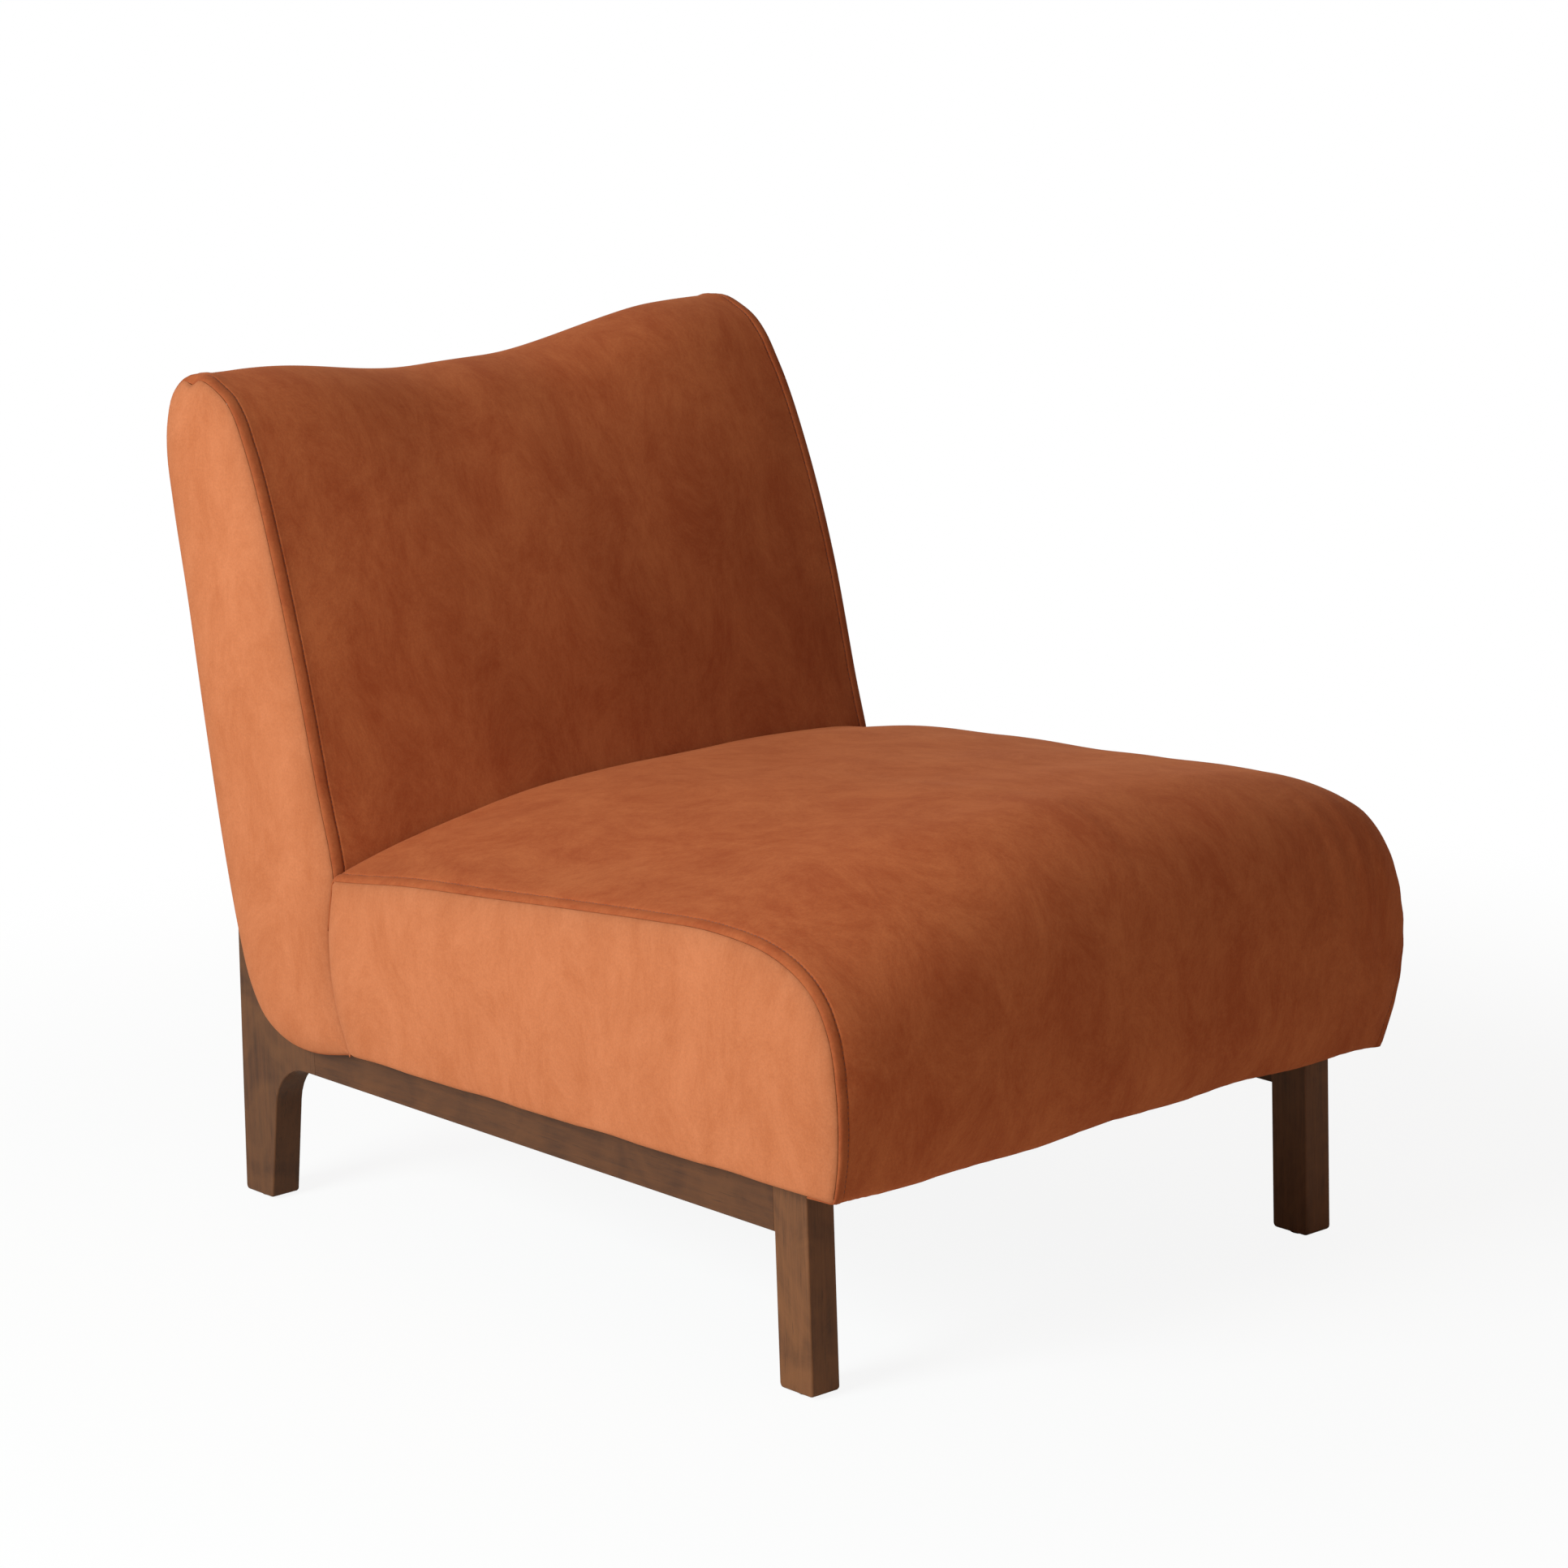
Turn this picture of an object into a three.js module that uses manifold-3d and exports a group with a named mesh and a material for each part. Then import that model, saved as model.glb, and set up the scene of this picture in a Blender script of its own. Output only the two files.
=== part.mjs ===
// Slipper chair: a velvet-covered seat and back, bolted on two stained wooden side frames.
// Millimetres, +Z up. The chair faces -Y, and its left is -X, as seen by someone who faces it.
// The origin is on the floor, under the middle of the chair's outline.
import * as THREE from 'three';
import { mergeVertices } from 'three/addons/utils/BufferGeometryUtils.js';
import Module from 'manifold-3d';

const wasm = await Module();
wasm.setup();

// Driving dimensions of the whole chair
const frameWidth = 620;          // across the outer faces of the two side frames
const seatOverhang = 22;         // side seam of the seat, beyond the side frame
const backOverhang = 16;
const seatLength = 686;          // front of the seat seam to the lower front corner of the back
const seatThickness = 218;       // underside to the highest point of the seat seam
const undersideHeight = 178;     // floor to the underside of the seat, at its rear
const undersideRise = 10;        // how much higher the underside is at the front
const backReach = 253;           // lower front corner of the back to its rearmost point
const backHeight = 614;          // lowest point of the back to its top
const heelDrop = 10;             // how far the back reaches below the underside of the seat
const clearance = 0.3;           // between any two pieces that touch
const overrun = 20;              // how far a cutting shape passes what it cuts

// Swell of the soft pieces beyond their seams
const seatCrown = 78;
const backCrown = 22;
const rearCrown = 4;
const seatSideBulge = 4;
const backSideBulge = 3;
const shoulderDraw = 10;         // how far the back is narrower at each side of its top edge
const shoulderDepth = 280;       // how far down the back that is felt
const topDip = 23;               // how much lower the top edge is in the middle
const dipWidth = 440;            // width of that dip
const dipMiddle = -22;           // the padding of the top edge is a little uneven
const dipDepth = 180;            // how far down the back the dip is felt

// Covers and padding
const coverThickness = 2;
const sidePadding = 22;
const frontPadding = 30;
const tuckDepth = 55;            // how far the covers go down between seat and back
const turnUnder = 45;            // front strip of the seat cover, under the seat
const rearSeamDrop = 38;         // top edge of the back down to the seam of the outside back
const sheetThickness = 1.7;      // dust cover

// Stained wooden side frames
const railWidth = 30;            // thickness of legs and rails, across the chair
const frontLegDepth = 43;
const legSetback = 68.5;         // front leg, behind the front of the seat seam
const railUnderside = 139;
const rearFootDepth = 44;
const rearFootInset = 46.5;      // rear foot, in front of the rearmost point of the back
const rearLegLean = 12;          // how far the horn leans forward at its top
const rearLegTaper = 20;         // how far the front edge of the rear leg leans forward
const kneeRadius = 50;
const hornHeight = 288;
const railJointLead = 60.5;      // joint of rail and rear leg, in front of the leg's knee corner
const edgeRadius = 1.5;
const footRadius = 4;
const tenonLength = 24;
const tenonHeight = 24;
const tenonThickness = 10;
const crossRailThickness = 25;
const crossRailRaise = 4;        // cross rails, above the underside of the side rails
const frontCrossRailSetback = 125;
const rearCrossRailLead = 37;    // rear cross rail, in front of the joint of rail and rear leg
const cornerBlockLeg = 55;
const cornerBlockHeight = 26;

// Foot glides
const glideRadius = 11;
const glideThickness = 2.5;
const glideEdge = 0.8;
const glideStemRadius = 2.5;
const glideStemLength = 12;

// Bolts that hold the upholstered body on the side frames
const boltRadius = 4;
const boltHeadRadius = 6.5;
const boltHeadHeight = 8;
const boltSocketRadius = 3.2;
const boltSocketDepth = 5;
const counterboreDepth = 12;
const boltGrip = 26;             // length of bolt inside the inner frame
const insertWall = 2.5;
const insertLength = 18;
const frontBoltSetback = 190;    // from the front of the front leg
const rearBoltAdvance = 60;      // from the lower front corner of the back

// Inner wooden frame of the upholstered body
const innerRailThickness = 25;
const innerRailHeight = 72;
const postDepth = 48;
const postTopDrop = 48;          // top of the back down to the top of the posts
const postFoot = 3;              // lower end of the posts, above the underside of the seat
const topRailHeight = 72;
const backRailThickness = 22;
const lowerRailHeight = 60;
const lowerRailRaise = 100;      // above the underside of the seat

// Springs, clips and webbing
const springCount = 4;
const springBars = 17;
const springWidth = 64;
const wireRadius = 1.75;
const springArch = 14;
const clipPlate = 1.2;
const clipWidth = 20;
const clipLength = 12;
const insulatorThickness = 2;
const insulatorInset = 8;
const strapCount = 3;
const strapWidth = 60;
const strapThickness = 2;
const firstStrapShare = 0.366;   // of the back height, from the bottom of the back to the lowest strap
const strapPitchShare = 0.155;

// Outlines of the seams, each point as a share of the length and height that it follows,
// and the third number as a share of the crown there
const seatTopShares = [
  [1.105, 0.74, 0.63], [1, 0.766, 0.61], [0.848, 0.83, 0.65], [0.673, 0.881, 0.66],
  [0.505, 0.931, 0.66], [0.343, 0.977, 0.66], [0.23, 1, 0.7], [0.128, 0.977, 0.79],
  [0.069, 0.913, 0.72], [0.034, 0.826, 0.545], [0.011, 0.688, 0.385], [0.002, 0.523, 0.272],
  [0, 0.335, 0.206], [0.005, 0.17, 0.1], [0.014, 0.05, 0],
];
const backFrontShares = [
  [0, 0.016, 0], [0.065, 0.086, 0.2], [0.093, 0.142, 0.5], [0.093, 0.199, 0.8],
  [0.073, 0.244, 1], [0.054, 0.285, 1], [0.129, 0.419, 1], [0.235, 0.607, 1],
  [0.359, 0.772, 0.8], [0.484, 0.896, 0.5], [0.613, 0.971, 0.25], [0.834, 1, 0],
];
const backRearShares = [
  [0, 0.016, 0], [0.224, 0, 0], [0.374, 0.002, 0], [0.476, 0.015, 0], [0.556, 0.037, 0],
  [0.631, 0.085, 0], [0.681, 0.151, 0.2], [0.749, 0.28, 0.8], [0.82, 0.459, 1],
  [0.892, 0.656, 1], [0.967, 0.801, 0.8], [1, 0.876, 0.5], [0.995, 0.928, 0.3],
  [0.952, 0.974, 0.1], [0.834, 1, 0],
];
const noseCrownShare = 0.277;
// How full the crown is towards the side seams, where less is fuller. The foam has moved over to
// the right with use, and how far differs along the seam: place along it, and fullness there
const leftRoundShare = 0.88;
const rightRoundShares = [
  [0, 0.2], [0.214, 0.28], [0.357, 0.48], [0.464, 0.5], [0.571, 0.29], [0.786, 0.2], [1, 0.4],
];
const backRoundShare = 0.9;
const dipRoundShare = 0.53;      // how steep the ends of the dip are: less is steeper
const creaseHeightShare = 0.75;  // of the seat thickness, at the side seam
const heelTopShare = 0.041;      // of the back height, above the round of the heel
const stationShares = [-1, -0.97, -0.88, -0.7, -0.4, 0, 0.4, 0.7, 0.88, 0.97, 1];
const outlineSteps = 22;
const kneeSteps = 8;
const cornerSteps = 3;
const roundSides = 16;
const boltSides = 12;
const socketSides = 6;
const wireSides = 4;
const archSteps = 12;
const coreSteps = 24;
const hollowSteps = 20;          // of the hollow top edge of the back, inside
const weldDistance = 0.0001;

// Places that follow from the sizes above
const noseY = (noseCrownShare * seatCrown - rearCrown - seatLength - backReach) / 2;
const backFootY = noseY + seatLength;
const backRearY = backFootY + backReach;
const backBottomZ = undersideHeight - heelDrop;
const backTopZ = backBottomZ + backHeight;
const creaseZ = undersideHeight + creaseHeightShare * seatThickness;
const seatWidth = frameWidth + 2 * seatOverhang;
const backWidth = frameWidth + 2 * backOverhang;
const halfSeat = seatWidth / 2;
const halfBack = backWidth / 2;
const railX = (frameWidth - railWidth) / 2;
const railInnerX = frameWidth / 2 - railWidth;
const legFrontY = noseY + legSetback;
const legRearY = legFrontY + frontLegDepth;
const rearFootRearY = backRearY - rearFootInset;
const rearFootFrontY = rearFootRearY - rearFootDepth;
const railJointY = rearFootFrontY - rearLegTaper - railJointLead;
const skin = coverThickness + clearance;
const innerRailOuterX = halfBack - skin - sidePadding - clearance;
const innerRailX = innerRailOuterX - innerRailThickness / 2;
const innerSpan = 2 * (innerRailOuterX - innerRailThickness - clearance);
const innerFrontY = noseY + skin + frontPadding;
const innerRailTopZ = undersideHeight + skin + innerRailHeight;

// The chair's materials
const walnut = new THREE.MeshStandardMaterial({ color: 0x5f4029, roughness: 0.45 });
const beech = new THREE.MeshStandardMaterial({ color: 0xc8a878, roughness: 0.7 });
const velvet = new THREE.MeshStandardMaterial({ color: 0xa85530, roughness: 0.85 });
const foam = new THREE.MeshStandardMaterial({ color: 0xe8dfc4, roughness: 0.95 });
const cambric = new THREE.MeshStandardMaterial({ color: 0x202020, roughness: 0.95 });
const webbing = new THREE.MeshStandardMaterial({ color: 0x3a3a38, roughness: 0.9 });
const steel = new THREE.MeshStandardMaterial({ color: 0x8c8f92, roughness: 0.4, metalness: 1 });
const nylon = new THREE.MeshStandardMaterial({ color: 0x2a2624, roughness: 0.5 });

const chair = new THREE.Group();
chair.name = 'slipper_chair';

function addPiece(name, geometry, material) {
  const mesh = new THREE.Mesh(geometry, material.clone());
  mesh.name = name;
  chair.add(mesh);
  return mesh;
}

// A closed solid from a geometry: shared corners are merged and slivers with no area are left out
function solidOf(geometry) {
  const bare = geometry.clone();
  bare.deleteAttribute('normal');
  bare.deleteAttribute('uv');
  const merged = mergeVertices(bare, weldDistance);
  const corners = merged.index.array;
  const kept = [];
  for (let i = 0; i < corners.length; i += 3) {
    const [a, b, c] = [corners[i], corners[i + 1], corners[i + 2]];
    if (a !== b && b !== c && c !== a) {
      kept.push(a, b, c);
    }
  }
  return new wasm.Manifold(new wasm.Mesh({
    numProp: 3,
    vertProperties: new Float32Array(merged.attributes.position.array),
    triVerts: new Uint32Array(kept),
  }));
}

function geometryOf(solid) {
  const mesh = solid.getMesh();
  const geometry = new THREE.BufferGeometry();
  geometry.setAttribute('position', new THREE.BufferAttribute(mesh.vertProperties, 3));
  geometry.setIndex(new THREE.BufferAttribute(mesh.triVerts, 1));
  geometry.computeVertexNormals();
  return geometry;
}

// A closed outline of [y, z] points, extruded across the chair and centred on x
function acrossGeometry(outline, width, x = 0, ease = 0, steps = 1) {
  const shape = new THREE.Shape(outline.map(([y, z]) => new THREE.Vector2(y, z)));
  const depth = width - 2 * ease;
  const geometry = new THREE.ExtrudeGeometry(shape, {
    depth,
    steps,
    bevelEnabled: ease > 0,
    bevelThickness: ease,
    bevelSize: ease,
    bevelOffset: -ease,
    bevelSegments: 2,
  });
  geometry.translate(0, 0, -depth / 2);
  const turned = new THREE.Matrix4().makeBasis(
    new THREE.Vector3(0, 1, 0),
    new THREE.Vector3(0, 0, 1),
    new THREE.Vector3(1, 0, 0),
  );
  geometry.applyMatrix4(turned);
  geometry.translate(x, 0, 0);
  return geometry;
}

function across(outline, width, x = 0, ease = 0) {
  return solidOf(acrossGeometry(outline, width, x, ease));
}

function block(xFrom, xTo, yFrom, yTo, zFrom, zTo) {
  const geometry = new THREE.BoxGeometry(xTo - xFrom, yTo - yFrom, zTo - zFrom);
  geometry.translate((xFrom + xTo) / 2, (yFrom + yTo) / 2, (zFrom + zTo) / 2);
  return solidOf(geometry);
}

function uprightCylinder(x, y, zFrom, zTo, radius, sides = roundSides) {
  const geometry = new THREE.CylinderGeometry(radius, radius, zTo - zFrom, sides);
  geometry.rotateX(Math.PI / 2);
  geometry.translate(x, y, (zFrom + zTo) / 2);
  return solidOf(geometry);
}

// An outline whose corners are [y, z, radius, steps]; a corner with a radius becomes an arc
function roundedOutline(corners) {
  const outline = [];
  corners.forEach(([y, z, radius = 0, steps = cornerSteps], i) => {
    const corner = new THREE.Vector2(y, z);
    if (radius === 0) {
      outline.push([y, z]);
      return;
    }
    const [yBefore, zBefore] = corners[(i + corners.length - 1) % corners.length];
    const [yAfter, zAfter] = corners[(i + 1) % corners.length];
    const toBefore = new THREE.Vector2(yBefore, zBefore).sub(corner).normalize();
    const toAfter = new THREE.Vector2(yAfter, zAfter).sub(corner).normalize();
    const halfAngle = Math.acos(toBefore.dot(toAfter)) / 2;
    const middle = toBefore.clone().add(toAfter).normalize();
    const centre = corner.clone().addScaledVector(middle, radius / Math.sin(halfAngle));
    const reach = radius / Math.tan(halfAngle);
    const start = corner.clone().addScaledVector(toBefore, reach).sub(centre);
    const end = corner.clone().addScaledVector(toAfter, reach).sub(centre);
    const turn = Math.atan2(start.cross(end), start.dot(end));
    for (let step = 0; step <= steps; step += 1) {
      const spoke = start.clone().rotateAround(new THREE.Vector2(), turn * step / steps);
      outline.push([centre.x + spoke.x, centre.y + spoke.y]);
    }
  });
  return outline;
}

// Points of a seam outline, with the crown that the surface has between the seams
function seamPoints(shares, originY, originZ, length, height, crown) {
  const points = shares.map(([along, up, swell]) => new THREE.Vector3(
    originY + along * length,
    originZ + up * height,
    swell * crown,
  ));
  const curve = new THREE.CatmullRomCurve3(points, false, 'centripetal');
  return curve.getPoints(outlineSteps).map((p) => ({ y: p.x, z: p.y, crown: p.z }));
}

// Outward normals, in the (y, z) plane, of a closed outline that runs up one stretch and
// back down the other; a corner's normal is longer, so that an inset keeps its distance
function outlineNormals(first, second) {
  const loop = [...first, ...second.slice(1, -1).reverse()];
  let area = 0;
  loop.forEach((p, i) => {
    const next = loop[(i + 1) % loop.length];
    area += p.y * next.z - next.y * p.z;
  });
  const facing = Math.sign(area);
  const edges = loop.map((p, i) => {
    const next = loop[(i + 1) % loop.length];
    return new THREE.Vector2(next.z - p.z, p.y - next.y).multiplyScalar(facing).normalize();
  });
  const normals = loop.map((p, i) => {
    const before = edges[(i + loop.length - 1) % loop.length];
    const sum = before.clone().add(edges[i]).normalize();
    return sum.divideScalar(Math.max(sum.dot(edges[i]), Math.SQRT1_2));
  });
  const firstNormals = normals.slice(0, first.length);
  const rest = normals.slice(first.length).reverse();
  return [firstNormals, [firstNormals[0], ...rest, firstNormals.at(-1)]];
}

// How far the top edge of the back dips at x, felt less and less down the back
function dipAt(x, z, topZ = backTopZ, depth = dipDepth) {
  const reach = Math.min(Math.abs(x - dipMiddle) / (dipWidth / 2), 1);
  const share = THREE.MathUtils.clamp((z - topZ + depth) / depth, 0, 1);
  return topDip * (0.5 + 0.5 * Math.cos(Math.PI * reach)) ** dipRoundShare * share;
}

// How full the seat is on its right, at a share of the way along its seam
function rightRoundAt(along) {
  const next = rightRoundShares.findIndex(([place]) => place >= along);
  const [toPlace, toRound] = rightRoundShares[next];
  const [fromPlace, fromRound] = rightRoundShares[Math.max(next - 1, 0)];
  const way = next > 0 ? (along - fromPlace) / (toPlace - fromPlace) : 0;
  return THREE.MathUtils.lerp(fromRound, toRound, way);
}

// How far each side of the back is drawn in towards its top edge
function shoulderAt(z) {
  const share = THREE.MathUtils.clamp((z - backTopZ + shoulderDepth) / shoulderDepth, 0, 1);
  return shoulderDraw * share ** 2;
}

// A soft body between two seam stretches that meet at their last points. Each step along the
// stretches is a ring: over the first stretch, down one side, along the second and up again.
function softBody(first, second, form, inset) {
  const [firstNormals, secondNormals] = outlineNormals(first, second);
  const positions = [];
  const place = (point, normal, share, along, bulge = 0) => {
    const round = form.roundAt(share, along);
    const x = share * (form.half - inset);
    const swell = point.crown * Math.max(1 - (x / form.half) ** 2, 0) ** round;
    const y = point.y + normal.x * (swell - inset);
    const z = point.z + normal.y * (swell - inset);
    const draw = form.shoulders ? shoulderAt(z) : 0;
    positions.push(x + share * (bulge - draw), y, z - (form.shoulders ? dipAt(x, z) : 0));
  };
  const ringSize = 2 * stationShares.length + 2;
  first.forEach((point, i) => {
    const other = second[i];
    const middle = {
      y: (point.y + other.y) / 2,
      z: (point.z + other.z) / 2,
      crown: 0,
    };
    const sideNormal = firstNormals[i].clone().add(secondNormals[i]).multiplyScalar(0.5);
    const span = Math.hypot(point.y - other.y, point.z - other.z);
    const bulge = form.sideBulge * Math.sqrt(Math.min(span / seatThickness, 1));
    const along = i / outlineSteps;
    stationShares.forEach((share) => place(point, firstNormals[i], share, along));
    place(middle, sideNormal, 1, along, bulge);
    [...stationShares].reverse().forEach((share) => place(other, secondNormals[i], share, along));
    place(middle, sideNormal, -1, along, bulge);
  });
  const faces = [];
  const quad = (a, b, c, d) => faces.push(a, b, c, a, c, d);
  for (let i = 0; i < first.length - 1; i += 1) {
    for (let j = 0; j < ringSize; j += 1) {
      const next = (j + 1) % ringSize;
      const [low, high] = [i * ringSize, (i + 1) * ringSize];
      quad(low + j, low + next, high + next, high + j);
    }
  }
  const last = stationShares.length - 1;
  for (let j = 0; j < last; j += 1) {
    const [a, b] = [2 * last + 2 - j, 2 * last + 1 - j];
    quad(j, a, b, j + 1);
  }
  faces.push(last, last + 2, last + 1, 0, ringSize - 1, 2 * last + 2);
  const geometry = new THREE.BufferGeometry();
  geometry.setAttribute('position', new THREE.Float32BufferAttribute(positions, 3));
  geometry.setIndex(faces);
  const solid = solidOf(geometry);
  if (solid.volume() > 0) {
    return solid;
  }
  geometry.setIndex(faces.slice().reverse());
  return solidOf(geometry);
}

// Height of the straight underside of the seat
function undersideAt(y) {
  return undersideHeight + undersideRise * (backFootY - y) / seatLength;
}

const seatTop = seamPoints(seatTopShares, noseY, undersideHeight, seatLength, seatThickness, seatCrown);
const seatCorner = seatTop.at(-1);
const seatBottom = seatTop.map((point, i) => {
  const y = THREE.MathUtils.lerp(seatTop[0].y, seatCorner.y, i / outlineSteps);
  return { y, z: i === outlineSteps ? seatCorner.z : undersideAt(y), crown: 0 };
});
const backFront = seamPoints(backFrontShares, backFootY, backBottomZ, backReach, backHeight, backCrown);
const backRear = seamPoints(backRearShares, backFootY, backBottomZ, backReach, backHeight, rearCrown);

const seatForm = {
  half: halfSeat,
  sideBulge: seatSideBulge,
  roundAt: (share, along) => (share > 0 ? rightRoundAt(along) : leftRoundShare),
};
const backForm = {
  half: halfBack,
  sideBulge: backSideBulge,
  roundAt: () => backRoundShare,
  shoulders: true,
};
const seatBody = (inset) => softBody(seatTop, seatBottom, seatForm, inset);
const backBody = (inset) => softBody(backFront, backRear, backForm, inset);

// The line of the outside back above the heel, moved forward, from one height to another
const heelTopZ = backBottomZ + heelTopShare * backHeight;
const risingRear = backRear.filter((p) => p.z >= heelTopZ && p.z <= backTopZ - rearSeamDrop);

function rearLineY(z) {
  const above = risingRear.findIndex((p) => p.z >= z);
  if (above === 0) {
    return risingRear[0].y;
  }
  if (above < 0) {
    return risingRear.at(-1).y;
  }
  const [low, high] = [risingRear[above - 1], risingRear[above]];
  return THREE.MathUtils.mapLinear(z, low.z, high.z, low.y, high.y);
}

function rearLine(forward, zFrom, zTo) {
  const between = risingRear.filter((p) => p.z > zFrom && p.z < zTo).map((p) => [p.y - forward, p.z]);
  return [[rearLineY(zFrom) - forward, zFrom], ...between, [rearLineY(zTo) - forward, zTo]];
}

// The outline of everything behind that line
function behindLine(forward, zFrom, zTo) {
  return [...rearLine(forward, zFrom, zTo), [backRearY + overrun, zTo], [backRearY + overrun, zFrom]];
}

// The space of the back, over the whole width of the seat, that the seat stays out of
function backSpace(grow) {
  const outline = [
    ...backFront.map((p) => [p.y - grow, p.z]),
    [backRearY + overrun, backTopZ],
    [backRearY + overrun, backBottomZ - overrun],
    [backFootY - grow, backBottomZ - overrun],
  ];
  return backBody(-grow).add(across(outline, seatWidth + overrun));
}

// Upholstered bodies, one inside the other: outer face, inside of the covers, face of the foam
const seatOuter = seatBody(0).subtract(backSpace(clearance));
const seatInner = seatBody(coverThickness).subtract(backSpace(clearance + coverThickness));
const seatFoamFull = seatBody(skin).subtract(backSpace(clearance + skin));
const backOuter = backBody(0);
const backInner = backBody(coverThickness);
const backFoamFull = backBody(skin);
const seatGrown = seatBody(-clearance);
const backGrown = backBody(-clearance);

// Side frames: front legs, side rails and rear legs with their horns
const sides = [['left', -1], ['right', 1]];
const roughTopZ = undersideHeight + undersideRise + overrun;

function tenon(x, yFrom, yTo, zMiddle, grow = 0) {
  return block(
    x - tenonThickness / 2 - grow, x + tenonThickness / 2 + grow,
    yFrom - grow, yTo + grow,
    zMiddle - tenonHeight / 2 - grow, zMiddle + tenonHeight / 2 + grow,
  );
}

function glideBore(x, y) {
  const top = glideThickness + glideStemLength;
  return uprightCylinder(x, y, 0, top + clearance, glideStemRadius + clearance);
}

// All of a side frame between two places along it. Its pieces are drawn past their joints and cut
// off there, so that their eased edges run on from one piece to the next.
function frameSpace(x, yFrom, yTo) {
  return block(x - railWidth, x + railWidth, yFrom, yTo, 0, hornHeight + overrun);
}

function frontLeg(x) {
  const outline = roundedOutline([
    [legFrontY, glideThickness, footRadius],
    [legRearY, glideThickness, footRadius],
    [legRearY, railUnderside],
    [legRearY + overrun, railUnderside],
    [legRearY + overrun, roughTopZ],
    [legFrontY, roughTopZ],
  ]);
  return across(outline, railWidth, x, edgeRadius)
    .subtract(frameSpace(x, legRearY, legRearY + 2 * overrun))
    .subtract(seatGrown)
    .subtract(frontTenon(x, clearance))
    .subtract(glideBore(x, legFrontY + frontLegDepth / 2));
}

const frontTenonZ = railUnderside + (undersideHeight - railUnderside) / 2;
const rearTenonZ = railUnderside + (backBottomZ - railUnderside) / 2;
const rearTenonScale = (backBottomZ - railUnderside) / (undersideHeight - railUnderside);

function frontTenon(x, grow = 0) {
  return tenon(x, legRearY - tenonLength, legRearY + overrun, frontTenonZ, grow);
}

function rearTenon(x, grow = 0) {
  const half = tenonHeight * rearTenonScale / 2 + grow;
  return block(
    x - tenonThickness / 2 - grow, x + tenonThickness / 2 + grow,
    railJointY - overrun, railJointY + tenonLength + grow,
    rearTenonZ - half, rearTenonZ + half,
  );
}

function sideRail(x) {
  const outline = [
    [legRearY - overrun, railUnderside],
    [railJointY + overrun, railUnderside],
    [railJointY + overrun, roughTopZ],
    [legRearY - overrun, roughTopZ],
  ];
  return across(outline, railWidth, x, edgeRadius)
    .intersect(frameSpace(x, legRearY + clearance, railJointY - clearance))
    .add(frontTenon(x))
    .add(rearTenon(x))
    .subtract(seatGrown)
    .subtract(backGrown);
}

function rearLeg(x) {
  const hornY = rearFootRearY - rearLegLean;
  const outline = roundedOutline([
    [railJointY - overrun, railUnderside],
    [rearFootFrontY - rearLegTaper, railUnderside, kneeRadius, kneeSteps],
    [rearFootFrontY, glideThickness, footRadius],
    [rearFootRearY, glideThickness, footRadius],
    [hornY, hornHeight, footRadius],
    [railJointY - overrun, hornHeight],
  ]);
  return across(outline, railWidth, x, edgeRadius)
    .subtract(frameSpace(x, railJointY - 2 * overrun, railJointY))
    .subtract(backGrown)
    .subtract(seatGrown)
    .subtract(block(
      x - railWidth, x + railWidth,
      railJointY, hornY - backReach / 2,
      backBottomZ + overrun, hornHeight + overrun,
    ))
    .subtract(rearTenon(x, clearance))
    .subtract(glideBore(x, rearFootRearY - rearFootDepth / 2));
}

// Bolts through the side rails, up into threaded inserts in the inner frame
const boltX = (railInnerX + innerRailOuterX) / 2;
const boltRows = [
  ['front', legFrontY + frontBoltSetback],
  ['rear', backFootY - rearBoltAdvance],
];
const boltPlaces = sides.flatMap(([side, sign]) => boltRows.map(([row, y]) => ({
  name: `${row}_${side}`,
  x: sign * boltX,
  y,
})));

function boltHole({ x, y }, extra) {
  const top = undersideAt(y) + skin + boltGrip;
  return uprightCylinder(x, y, railUnderside - overrun, top + clearance, boltRadius + extra);
}

function counterbore({ x, y }) {
  const top = railUnderside + counterboreDepth;
  return uprightCylinder(x, y, railUnderside - overrun, top, boltHeadRadius + clearance);
}

function insertBore({ x, y }) {
  const bottom = undersideAt(y) - overrun;
  const top = undersideAt(y) + skin + insertLength + clearance;
  return uprightCylinder(x, y, bottom, top, boltRadius + clearance + insertWall + clearance);
}

sides.forEach(([side, sign]) => {
  let rail = sideRail(sign * railX);
  boltPlaces.filter((place) => place.x * sign > 0).forEach((place) => {
    rail = rail.subtract(boltHole(place, clearance)).subtract(counterbore(place));
  });
  crossTenonPlaces().forEach(([y, z]) => {
    rail = rail.subtract(crossTenon(sign, y, z, clearance));
  });
  addPiece(`front_leg_${side}`, geometryOf(frontLeg(sign * railX)), walnut);
  addPiece(`side_rail_${side}`, geometryOf(rail), walnut);
  addPiece(`rear_leg_${side}`, geometryOf(rearLeg(sign * railX)), walnut);
});

// Cross rails between the side rails, with a tenon at each end
function crossTenonPlaces() {
  return [
    [legFrontY + frontCrossRailSetback + crossRailThickness / 2, frontTenonZ],
    [railJointY - rearCrossRailLead - crossRailThickness / 2, rearTenonZ],
  ];
}

function crossTenon(sign, y, z, grow = 0) {
  const inner = railInnerX - overrun;
  const outer = railInnerX + railWidth / 2 + grow;
  const half = tenonHeight * rearTenonScale / 2 + grow;
  return block(
    Math.min(sign * inner, sign * outer), Math.max(sign * inner, sign * outer),
    y - tenonThickness / 2 - grow, y + tenonThickness / 2 + grow,
    z - half, z + half,
  );
}

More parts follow.
